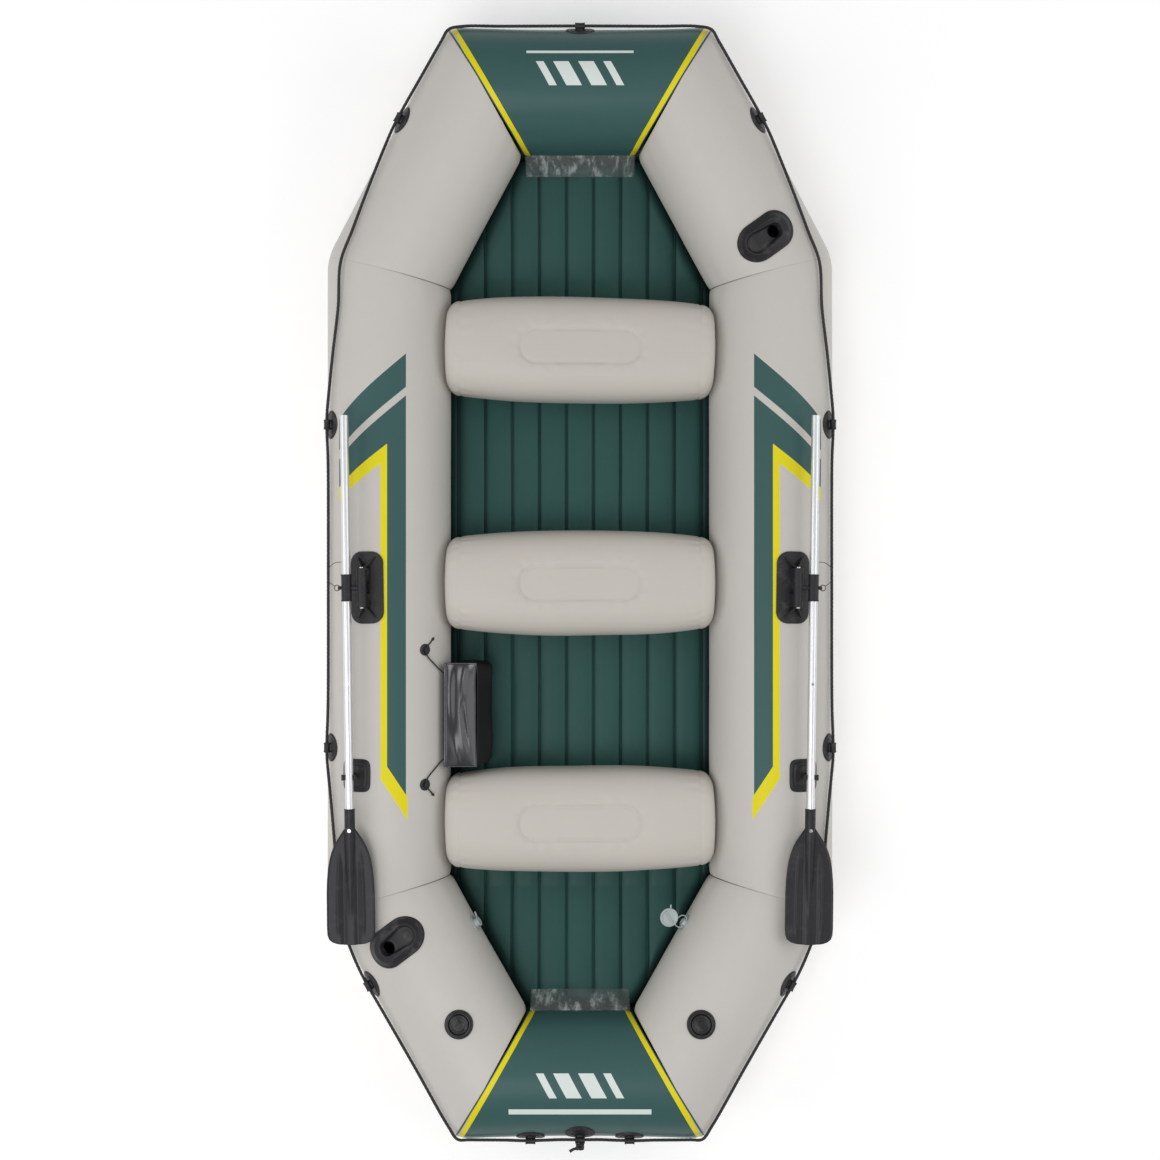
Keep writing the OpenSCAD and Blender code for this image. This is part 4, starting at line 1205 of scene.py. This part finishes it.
def make_rod_holder(side):
    """A moulded holder: a bonded flange, a raised rim round a sloping pocket, and a deep leaning socket."""
    tube, along, roll = ROD_HOLDERS[side]
    x0, y0, z0 = tube_axes(tube, roll)
    x = x0 * math.cos(ROD_TWIST) + y0 * math.sin(ROD_TWIST)
    y = y0 * math.cos(ROD_TWIST) - x0 * math.sin(ROD_TWIST)
    depth = 0.128
    straight, end_r = 0.031, 0.0555
    place = framed(on_axis(tube, along), x, y, z0)

    def skin(u, v):
        """The tube's skin below a point of the holder."""
        return glued_height(v * math.cos(ROD_TWIST) + u * math.sin(ROD_TWIST))

    def height(u, v):
        inside = end_r - near_segment(u, v, -straight, straight)
        h = 0.0030 + 0.0030 * step(inside, 0.0, 0.004) + 0.0120 * step(inside, 0.004, 0.022)
        share = ramp((v - POCKET[0]) / (POCKET[1] - POCKET[0]))
        pocket = near_segment(u, v, *POCKET) - (0.030 - 0.008 * share)
        h += 0.0016 * math.exp(-((pocket - 0.0035) / 0.0025) ** 2)
        floor_h = 0.0105 - 0.0100 * share
        return h + (floor_h - h) * step(-pocket, -0.001, 0.0065)

    def mouth(a, rad, drop):
        """A point of the socket's wall, by angle, radius and depth below the tube's crown."""
        u, v = rad * math.cos(a), rad * math.sin(a)
        return (
            u,
            ROD_MOUTH + v * math.cos(ROD_LEAN) + drop * math.sin(ROD_LEAN),
            TUBE_R + 0.004 + v * math.sin(ROD_LEAN) - drop * math.cos(ROD_LEAN),
        )

    def below_pocket(a, clear):
        """The depth at which the leaning wall passes under the tube's skin at the hole's edge."""
        v = ROD_MOUTH + ROD_R * 0.99 * math.sin(a)
        top = TUBE_R + 0.004 + ROD_R * math.sin(a) * math.sin(ROD_LEAN)
        return (top - skin(0.0, v) + clear) / math.cos(ROD_LEAN)

    angles = circle(120)
    rings = [[place(*mouth(a, ROD_R, drop)) for a in angles] for drop in (depth, 0.09, 0.05)]
    for clear in (0.014, 0.007, 0.0045):
        rings.append([place(*mouth(a, ROD_R, below_pocket(a, clear))) for a in angles])
    hole = [(ROD_R * 1.03 * math.cos(a), ROD_MOUTH + ROD_R * 0.99 * math.sin(a)) for a in angles]
    rings.append([place(u, v, skin(u, v) - 0.0015) for u, v in hole])

    def outline(a):
        """Where a ray from the socket's mouth leaves the flange."""
        u, v = math.cos(a), math.sin(a)
        low_t, high_t = 0.0, 0.25
        for _ in range(30):
            t = (low_t + high_t) / 2
            if near_segment(u * t, ROD_MOUTH + v * t, -straight, straight) < end_r:
                low_t = t
            else:
                high_t = t
        return u * low_t, ROD_MOUTH + v * low_t

    edge = [outline(a) for a in angles]
    steps = 46
    for k in range(steps + 1):
        t = k / steps
        ring = []
        for (hu, hv), (eu, ev) in zip(hole, edge):
            u, v = hu + (eu - hu) * t, hv + (ev - hv) * t
            lip = 0.0022 * math.exp(-((t * math.hypot(eu - hu, ev - hv)) / 0.003) ** 2)
            ring.append(place(u, v, skin(u, v) + height(u, v) + lip))
        rings.append(ring)
    rings.append([place(u * 1.002, v * 1.002, skin(u, v) + 0.0002) for u, v in edge])
    rings.append([place(*mouth(a, ROD_R + 0.003, 0.004)) for a in angles])
    rings.append([place(*mouth(a, ROD_R + 0.003, depth + 0.002)) for a in angles])
    points, faces = ring_strip(rings)
    name = side + "_rod_holder"
    finish_piece(make_piece(name + "_moulding", points, faces), "rubber", "hull", name)


# ---------------------------------------------------------------- valves

VALVE_ROLL = -6.0
VALVE_AT = 0.29
VALVE_FLANGE_R = 0.0405
DRAIN_AT = 0.655
DRAIN_ROLL = -80.0


def lathe(profile, place, around=96, shape=None):
    """Rings of a turned part from (radius, height) pairs; shape may change a point's radius or height."""
    rings = []
    for radius, height in profile:
        ring = []
        for a in circle(around):
            r, h = shape(radius, height, a) if shape else (radius, height)
            ring.append(place(r * math.cos(a), r * math.sin(a), h))
        rings.append(ring)
    return rings


def block_part(store, place, half_u, half_v, low_h, high_h, turn, crown=0.0, edge=0.0012):
    """A rounded bar standing on a face, as a small closed part."""
    rings = []
    for inset, h in ((0, low_h), (0, high_h - edge), (0.3 * edge, high_h - 0.3 * edge), (edge, high_h)):
        ring = []
        for a in circle(32):
            cu, cv = squared(a, 0.35)
            cu, cv = cu * (half_u - inset), cv * (half_v - inset)
            u = cu * math.cos(turn) - cv * math.sin(turn)
            v = cu * math.sin(turn) + cv * math.cos(turn)
            ring.append(place(u, v, h + crown * (1 - (cu / half_u) ** 2)))
        rings.append(ring)
    add_part(store, *ring_strip(rings))


def valve_frame(side, along, roll_deg):
    """The frame of a valve on a stern quarter tube, the same place on either side of the boat."""
    tube, share = (PORT_STERN, along) if side == "port" else (STARBOARD_STERN, 1 - along)
    return framed(on_axis(tube, share), *tube_axes(tube, roll_deg))


def flange_skin(start, end):
    """A change for lathe: a flange that lies on the tube from radius end outwards and is flat inside start."""
    def follow(radius, height, a):
        skin = glued_height(radius * math.sin(a)) - TUBE_R
        return radius, TUBE_R + height + skin * step(radius, start, end)

    return follow


def make_valve(side):
    """A recessed valve: a bonded flange with a raised collar, and a screw cap with a grip."""
    place = valve_frame(side, VALVE_AT, VALVE_ROLL)
    flange = (
        (VALVE_FLANGE_R, 0.0001), (0.0405, 0.0022), (0.0398, 0.0030), (0.0375, 0.0034), (0.0368, 0.0026),
        (0.0352, 0.0028), (0.0338, 0.0075), (0.0332, 0.0086), (0.0322, 0.0092), (0.0302, 0.0092),
        (0.0293, 0.0085), (0.0284, 0.0050), (0.0282, 0.0032), (0.0210, 0.0030), (0.0205, 0.0022),
        (0.0202, -0.018), (0.0240, -0.019), (0.0240, -0.002),
    )
    points, faces = ring_strip(lathe(flange, place, 96, flange_skin(0.0335, VALVE_FLANGE_R)), capped=False)
    finish_piece(make_piece(side + "_valve_flange", points, faces), "valve_plastic", "hull", side + "_valve_seat")

    def knurl(radius, height, a):
        rib = 0.0005 * max(0.0, math.cos(40 * a)) if radius > 0.0245 and height < 0.0090 else 0.0
        return radius - rib, TUBE_R + height

    cap = (
        (0.0165, -0.0148), (0.0195, -0.0148), (0.0195, 0.0050), (0.0255, 0.0053), (0.0268, 0.0060),
        (0.0268, 0.0082), (0.0258, 0.0092), (0.0236, 0.0094), (0.0226, 0.0080), (0.0196, 0.0078),
        (0.0186, 0.0090), (0.0150, 0.0096), (0.0080, 0.0100), (0.0020, 0.0100),
    )
    store = ([], [])
    add_part(store, *ring_strip(lathe(cap, place, 160, knurl)))
    turn = math.radians(128 if side == "port" else 62)
    slide = 0.0042
    for way in (-1, 1):
        def shifted(u, v, w, way=way):
            return place(u - way * slide * math.sin(turn), v + way * slide * math.cos(turn), w)
        block_part(store, shifted, 0.0110, 0.0017, TUBE_R + 0.0092, TUBE_R + 0.0152, turn, crown=0.0008)
    block_part(store, place, 0.0118, 0.0060, TUBE_R + 0.0092, TUBE_R + 0.0118, turn, crown=0.0004)
    finish_piece(make_piece(side + "_screw_cap", *store), "valve_plastic", side + "_valve_cap", side + "_valve_cap")


def make_drain(side):
    """The small inner valve low on the quarter tube, its plug in or hanging by its loop."""
    place = valve_frame(side, DRAIN_AT, DRAIN_ROLL)
    flange = (
        (0.0250, 0.0001), (0.0250, 0.0014), (0.0240, 0.0022), (0.0215, 0.0020), (0.0205, 0.0014), (0.0150, 0.0016),
        (0.0128, 0.0026), (0.0119, 0.0085), (0.0116, 0.0108), (0.0098, 0.0108), (0.0084, 0.0100), (0.0082, -0.012),
        (0.0100, -0.013), (0.0100, -0.001),
    )
    points, faces = ring_strip(lathe(flange, place, 64, flange_skin(0.012, 0.025)), capped=False)
    finish_piece(make_piece(side + "_drain_flange", points, faces), "vinyl_white", "hull", side + "_inner_valve")

    store = ([], [])
    if side == "port":
        plug = (
            (0.0055, 0.174), (0.0078, 0.175), (0.0078, 0.1905), (0.0140, 0.1912), (0.0150, 0.1922), (0.0150, 0.1940),
            (0.0138, 0.1950), (0.0110, 0.1952), (0.0100, 0.1944), (0.0030, 0.1946),
        )
        add_part(store, *ring_strip(lathe(plug, place, 64)))
        loop = [
            place(0.013 + 0.008 * (1 - math.cos(a)), 0.0045 * math.sin(a), 0.1925 + 0.0035 * math.sin(a / 2))
            for a in np.linspace(0.15, 2 * math.pi - 0.15, 34)
        ]
        add_part(store, *swept_tube(loop, 0.0014, 8))
    else:
        reach = 0.054
        hang_v = 0.010

        def hung(u, v, h):
            """The plug's own frame: its face looks up, out along the tube's wall."""
            return place(0.009 + u, hang_v + h, TUBE_R + reach + v)

        def tab(u, v, h):
            return hung(u - 0.030, v + 0.012, h)

        disc = (
            (0.0050, -0.0068), (0.0076, -0.0066), (0.0078, 0.0), (0.0205, 0.0004), (0.0255, 0.0010), (0.0268, 0.0022),
            (0.0268, 0.0050), (0.0255, 0.0064), (0.0232, 0.0066), (0.0222, 0.0048), (0.0130, 0.0044), (0.0030, 0.0046),
        )
        add_part(store, *ring_strip(lathe(disc, hung, 72)))
        block_part(store, hung, 0.0200, 0.0022, 0.0042, 0.0078, math.radians(-62), crown=0.0006)
        block_part(store, tab, 0.0050, 0.0022, 0.0018, 0.0048, math.radians(150))
        wide = 0.014
        for way in (-1, 1):
            strap = smooth_path([
                place(way * wide * 0.7, 0.014, TUBE_R + 0.0036),
                place(way * (wide + 0.004), 0.0142, TUBE_R + 0.012),
                place(way * (wide + 0.003) + 0.002, 0.0142, TUBE_R + 0.024),
                place(way * wide * 0.6 + 0.006, 0.0138, TUBE_R + 0.0305),
            ], 0.0015)
            add_part(store, *swept_tube(strap, 0.0015, 8))
    finish_piece(make_piece(side + "_drain_plug", *store), "vinyl_white", "hull", side + "_inner_valve_plug")


# ---------------------------------------------------------------- rope holders and clasps

PATCH_R = 0.041
EYE_BORE = 0.0065
EYE_L = 0.028
LINE_ROLL = 63.0
HOLDERS = (
    (0, 0.237), (0, 0.752), (1, 0.682), (2, 0.5), (3, 0.318), (4, 0.248),
    (4, 0.763), (5, 0.343), (6, 0.224), (6, 0.776), (7, 0.657),
)


def make_holder_pattern(name, offset=0.0, patch_r=PATCH_R):
    """One rope holder about the tube's axis: a ridged round patch and a flared eye on a foot."""
    store = ([], [])
    grow = patch_r / PATCH_R

    place = framed(np.zeros(3), *np.eye(3))

    def follow(radius, height, a):
        radius *= grow
        return radius, glued_height(radius * math.sin(a)) + height

    patch = (
        (PATCH_R, 0.0), (PATCH_R, 0.0012), (0.0402, 0.0019), (0.0375, 0.0020), (0.0366, 0.0030), (0.0350, 0.0030),
        (0.0342, 0.0020), (0.0260, 0.0021), (0.0250, 0.0030), (0.0238, 0.0030), (0.0228, 0.0022), (0.0120, 0.0028),
    )
    add_part(store, *ring_strip(lathe(patch, place, 56, follow)))
    top = TUBE_R + EYE_HEIGHT
    half = EYE_L / 2
    profile = (
        (half - 0.0040, 0.0024), (half - 0.0018, 0.0033), (half, 0.0028), (half, 0.0008), (half - 0.002, 0.0),
    )
    profile = [(-u, rise) for u, rise in reversed(profile)] + [(-0.003, 0.0021), (0.003, 0.0021)] + list(profile)
    profile.append(profile[0])
    eye = []
    for u, rise in profile:
        rad = EYE_BORE + rise
        eye.append([(u, offset + rad * math.cos(a), top + rad * math.sin(a)) for a in circle(28)])
    add_part(store, *ring_strip(eye, capped=False))
    foot = []
    for w, hu, hv in ((-0.0005, 0.0135, 0.0105), (0.004, 0.0110, 0.0085), (0.0065, 0.0105, 0.0078)):
        corners = [squared(a, 0.5) for a in circle(24)]
        foot.append([(cu * hu, offset + cv * hv, TUBE_R + w) for cu, cv in corners])
    add_part(store, *ring_strip(foot))
    return make_piece(name, *store)


def build_row_tree(pattern, material):
    """Sets a copy of the pattern at every point of a mesh, turned by the point's own angles."""
    tree = bpy.data.node_groups.new("Fittings in a row", "GeometryNodeTree")
    face = tree.interface
    face.new_socket("Geometry", in_out="INPUT", socket_type="NodeSocketGeometry")
    size = face.new_socket("Size", in_out="INPUT", socket_type="NodeSocketFloat")
    size.default_value = 1.0
    face.new_socket("Geometry", in_out="OUTPUT", socket_type="NodeSocketGeometry")
    new, link = tree.nodes.new, tree.links.new
    source, result = new("NodeGroupInput"), new("NodeGroupOutput")
    points = new("GeometryNodeMeshToPoints")
    turn = new("GeometryNodeInputNamedAttribute")
    turn.data_type = "FLOAT_VECTOR"
    turn.inputs["Name"].default_value = "turn"
    info = new("GeometryNodeObjectInfo")
    info.inputs["Object"].default_value = pattern
    copies = new("GeometryNodeInstanceOnPoints")
    real = new("GeometryNodeRealizeInstances")
    finish = new("GeometryNodeSetMaterial")
    finish.inputs["Material"].default_value = material
    link(source.outputs["Geometry"], points.inputs["Mesh"])
    link(points.outputs["Points"], copies.inputs["Points"])
    link(info.outputs["Geometry"], copies.inputs["Instance"])
    link(turn.outputs["Attribute"], copies.inputs["Rotation"])
    link(source.outputs["Size"], copies.inputs["Scale"])
    link(copies.outputs["Instances"], real.inputs["Geometry"])
    link(real.outputs["Geometry"], finish.inputs["Geometry"])
    link(finish.outputs["Geometry"], result.inputs["Geometry"])
    return tree, size.identifier


def set_in_row(name, pattern, places, material, size=1.0):
    """One mesh of copies of the pattern, each at a (point, x axis, z axis)."""
    mesh = bpy.data.meshes.new(name + "_points")
    mesh.from_pydata([tuple(p) for p, x, z in places], [], [])
    turn = mesh.attributes.new("turn", "FLOAT_VECTOR", "POINT")
    for k, (p, x, z) in enumerate(places):
        y = np.cross(z, x)
        turn.data[k].vector = Matrix((x, y, z)).transposed().to_euler()
    holder = add_object(name + "_points", mesh)
    tree, size_socket = build_row_tree(pattern, MATERIALS[material])
    row = holder.modifiers.new("row", "NODES")
    row.node_group = tree
    row[size_socket] = size
    bpy.context.view_layer.update()
    graph = bpy.context.evaluated_depsgraph_get()
    made = bpy.data.meshes.new_from_object(holder.evaluated_get(graph))
    made.name = name
    piece = add_object(name, made)
    bpy.data.objects.remove(holder)
    bpy.data.objects.remove(pattern)
    return piece


def holder_place(tube, along, roll_deg):
    x, y, z = tube_axes(tube, roll_deg)
    drawn_in = waist_at(along, math.radians(roll_deg), WAIST) if tube in (BOW, STERN) else 0.0
    return on_axis(tube, along) - z * drawn_in, x, z


def make_rope_holders():
    places = [holder_place(tube, along, LINE_ROLL) for tube, along in HOLDERS]
    row = set_in_row("rope_holder_set", make_holder_pattern("holder_pattern"), places, "rubber")
    finish_piece(row, "rubber", "hull", "rope_holders")
    pattern = make_holder_pattern("tow_pattern", TOW_OFFSET, PATCH_R + 0.002)
    tow = set_in_row("tow_eye", pattern, [holder_place(STERN, 0.5, TOW_ROLL)], "rubber")
    finish_piece(tow, "rubber", "hull", "tow_fitting")


def make_baffles():
    """The web across the middle of each end tube, cut to the drawn-in round."""
    store = ([], [])
    for tube in (BOW, STERN):
        centre = (corner(tube) + corner(tube + 1)) / 2
        rings = []
        for side, share in ((-1, 0.02), (-1, 1.0), (1, 1.0), (1, 0.02)):
            ring = []
            for roll in circle(96):
                rad = TUBE_R - 0.004 - waist_at(0.5, roll, WAIST)
                ring.append(centre + ahead(tube) * 0.0006 * side + radial(tube, roll) * rad * share)
            rings.append(ring)
        add_part(store, *ring_strip(rings))
    finish_piece(make_piece("tube_baffles", *store), "hull_beige", "hull", "air_baffles")


ROWLOCK_AFT = 0.013
CLASP_AFT = 0.535
CLASP_ROLL = math.radians(25.7)
SHAFT_R = 0.012
CLASP_GAP = 0.0013


def make_clasp(side):
    """A ridged square patch on the side tube, and the open cradle the shaft presses into."""
    sign = -1 if side == "port" else 1
    shaft = oar_place(side)
    store = ([], [])
    base_x, base_z = sign * (MID_X + TUBE_R * math.sin(CLASP_ROLL)), TUBE_R + TUBE_R * math.cos(CLASP_ROLL)
    out = np.array((sign * math.sin(CLASP_ROLL), 0, math.cos(CLASP_ROLL)))
    side_way = np.array((sign * math.cos(CLASP_ROLL), 0, -math.sin(CLASP_ROLL)))
    fore = np.array((0, 1.0, 0))
    middle = np.array((base_x, -ROWLOCK_AFT - CLASP_AFT, base_z))

    def on_patch(share, a, height):
        cu, cv = squared(a, 0.4)
        u, v = 0.045 * share * cu, 0.047 * share * cv
        sink = math.sqrt(TUBE_R ** 2 - u * u) - TUBE_R
        return middle + side_way * u + fore * v + out * (sink + GLUE + height)

    rings = []
    for share, height in (
        (1.0, 0.0), (1.0, 0.0022), (0.975, 0.0032), (0.90, 0.0032), (0.875, 0.0046), (0.83, 0.0046), (0.805, 0.0032),
        (0.70, 0.0032), (0.675, 0.0046), (0.63, 0.0046), (0.605, 0.0034), (0.45, 0.0040), (0.2, 0.0046),
    ):
        rings.append([on_patch(share, a, height) for a in circle(72)])
    add_part(store, *ring_strip(rings))
    inner, arm, half_w = SHAFT_R + CLASP_GAP, 0.004, 0.007
    arc = []
    for a in np.linspace(math.radians(166), math.radians(374), 33):
        arc.append([
            shaft(rad * math.cos(a), w - CLASP_AFT, rad * math.sin(a))
            for rad, w in ((inner, -half_w), (inner + arm, -half_w), (inner + arm, half_w), (inner, half_w))
        ])
    add_part(store, *ring_strip(arc))
    for way in (-1, 1):
        knob = []
        for w, rad in ((-half_w - 0.001, 0.0026), (-half_w, 0.0040), (half_w, 0.0040), (half_w + 0.001, 0.0026)):
            knob.append([
                shaft(way * (inner + arm + 0.0002) + rad * math.cos(a), w - CLASP_AFT, 0.0040 + rad * math.sin(a))
                for a in circle(24)
            ])
        add_part(store, *ring_strip(knob))
    post = []
    for w, grow in ((-inner - 0.003, 0.0), (-inner - 0.012, 0.0), (-inner - 0.026, 0.001), (-0.062, 0.006)):
        post.append([
            shaft((0.009 + grow) * cu, (half_w + grow) * cv - CLASP_AFT, w)
            for cu, cv in (squared(a, 0.5) for a in circle(28))
        ])
    add_part(store, *ring_strip(post))
    piece = soften(make_piece(side + "_clasp", *store, smooth=True), 0.0006, 2, 50)
    finish_piece(piece, "rubber", "hull", side + "_oar_clasp")


# ---------------------------------------------------------------- pouch

POUCH_LOW_Y, POUCH_HIGH_Y = -0.530, -0.230
POUCH_LOW_Z, POUCH_HIGH_Z = 0.0925, 0.284
FLAP_W = 0.097
# The lid's height where it is flat, and the lowest it may dip
FLAP_Z, FLAP_LOW_Z = 0.2862, 0.2715


def make_pouch():
    """A soft bag of coated cloth hung from the side tube, standing on the floor."""
    around = 160
    rings = []

    def outboard(z):
        return float(np.interp(z, (POUCH_LOW_Z, 0.225, POUCH_HIGH_Z), (-0.372, -0.372, -0.394)))

    def inboard(z):
        heights = (POUCH_LOW_Z, 0.150, 0.224, POUCH_HIGH_Z)
        return float(np.interp(z, heights, (-0.262, -0.256, -0.254, -0.296)))

    def loop(z, shrink, power):
        x_mid, x_half = (outboard(z) + inboard(z)) / 2, (inboard(z) - outboard(z)) / 2
        y_mid, y_half = (POUCH_LOW_Y + POUCH_HIGH_Y) / 2, (POUCH_HIGH_Y - POUCH_LOW_Y) / 2
        ring = []
        for a in circle(around):
            cu, cv = squared(a, power)
            x, y = x_mid + x_half * shrink * cu, y_mid + y_half * shrink * cv
            up = (z - POUCH_LOW_Z) / (POUCH_HIGH_Z - POUCH_LOW_Z)
            loose = math.sin(math.pi * ramp(up)) * shrink
            if cu > 0:
                x -= loose * (0.006 + 0.006 * math.sin(21 * (y + 0.38) + 1.2) + 0.003 * math.sin(63 * y + 9 * z))
            y -= math.copysign(loose * (0.004 + 0.004 * math.sin(45 * z + 30 * x)), cv) * abs(cv)
            ring.append((x, y, z))
        return ring

    for k in range(8):
        rings.append(loop(POUCH_LOW_Z + 0.0012 * (1 - k / 7), (k + 1) / 8 * 0.93, 0.35))
    for h in np.linspace(0, 1, 34):
        z = POUCH_LOW_Z + (POUCH_HIGH_Z - POUCH_LOW_Z) * h
        rings.append(loop(z, 1.0 - 0.07 * max(0.0, 1 - h / 0.06) ** 2, 0.22 + 0.10 * (1 - h)))
    points = [p for ring in rings for p in ring]
    faces = band_faces(len(rings), around)
    points.append(tuple(np.mean(rings[0], axis=0)))
    faces += [((b + 1) % around, b, len(points) - 1) for b in range(around)]
    piece = make_piece("pouch_bag", points, faces)
    thicken(piece, 0.0022, -1.0)
    finish_piece(piece, "pouch_cloth", "hull", "pouch")


def make_flap():
    """The bag's vinyl lid: a soft sheet that dips over the mouth, with a turned hem all round."""
    low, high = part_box("pouch_flap")
    rows, cols = 150, 60
    top = []
    for r in range(rows + 1):
        y = low.y + 0.003 + (high.y - low.y - 0.006) * r / rows
        v = 2 * r / rows - 1
        waver = 0.0075 * math.sin(17.0 * (y + 0.33)) * (1 - v ** 4)
        for c in range(cols + 1):
            t = c / cols
            x = low.x + 0.003 + (FLAP_W - 0.001) * t
            free = t * t * (3 - 2 * t)
            x -= free * (0.004 * (1 - v ** 2) + 0.5 * max(0.0, waver))
            dip = 0.0105 * math.sin(math.pi * min(1.0, t * 1.04)) * (1 - v ** 6)
            crease = 0.0042 * hump(t, 0.40 + 0.20 * math.sin(9 * y + 1.4), 0.10) * math.sin(13 * y + 2.4)
            crease += 0.0030 * hump(t, 0.70 - 0.13 * math.sin(14 * y), 0.07) * math.sin(19 * y)
            fine = 0.0016 * noise.noise(Vector((x * 15, y * 4.5, 2.0)))
            hem = 0.0014 * max(hump(t, 0.045, 0.018), hump(t, 0.955, 0.018), hump(1 - abs(v), 0.012, 0.006))
            z = FLAP_Z - dip - (crease + fine) * (1 - v ** 8) * min(1.0, 6 * t * (1 - t) + 0.1) + hem
            top.append((x, y, max(z, FLAP_LOW_Z)))
    piece = make_piece("pouch_lid", top, grid_faces(rows, cols))
    thicken(piece, 0.0011, 1.0)
    finish_piece(piece, "pouch_vinyl", "pouch_flap", "pouch_flap")


# ---------------------------------------------------------------- clear films


def make_film(name, end, turn, width):
    """The clear apron from the end tube down to the floor, taut at its edges and wrinkled between."""
    half = end_half(turn, width, 2 * TUBE_R) - 0.008
    y1 = END_Y - TUBE_R * math.cos(math.radians(5))
    z1 = END_Z - TUBE_R * math.sin(math.radians(5))
    y2 = y1 - 0.038
    z2 = 0.092 + bend(end * y2) + 0.0015
    rows, cols = 26, 110
    top = []
    seed = 0.0 if end > 0 else 5.0
    for r in range(rows + 1):
        t = r / rows
        for c in range(cols + 1):
            q = 2 * c / cols - 1
            x = half * q
            slack = math.sin(math.pi * t) * (1 - q ** 8)
            wrinkle = 0.0035 * noise.noise(Vector((x * 22 + seed, t * 1.6, seed)))
            wrinkle += 0.0022 * noise.noise(Vector((x * 60, t * 3, seed + 2)))
            y = y1 + (y2 - y1) * t - slack * (0.006 + wrinkle)
            z = z1 + (z2 - z1) * t - slack * 0.004
            top.append((x, end * y, z))
    piece = make_piece(name, top, grid_faces(rows, cols))
    thicken(piece, 0.0006, 0.0)
    finish_piece(piece, "clear_film", "hull", "splash_films")


for side_name in SIDES:
    make_rod_holder(side_name)
    make_valve(side_name)
    make_drain(side_name)
    make_clasp(side_name)
make_rope_holders()
make_baffles()
make_pouch()
make_flap()
make_film("bow_film", 1, BOW_TURN, BOW_W)
make_film("stern_film", -1, STERN_TURN, STERN_W)

# ---------------------------------------------------------------- finishes of the CAD nodes that stay

SIDE_NODES = {
    "rubber": ("rowlock_base", "valve_gasket"), "oar_plastic": ("oarlock", "oar_collar"),
    "shaft_aluminium": ("oar_upper_shaft", "oar_lower_shaft"), "bright_wire": ("rowlock_pin", "oar_pins"),
    "dark_wire": ("lock_ring",),
}
finish_node("pouch_eyelets", "rubber")
# The beams store no edge-shadow values, so the floor material paints them all in its near-black painted-shadow green.
finish_node("floor_beams", "floor_green")
for side_name in SIDES:
    for material_name, node_names in SIDE_NODES.items():
        for node_name in node_names:
            finish_node(side_name + "_" + node_name, material_name)
for seat_name in ("bow", "middle", "stern"):
    finish_node(seat_name + "_seat_valve", "vinyl_white")
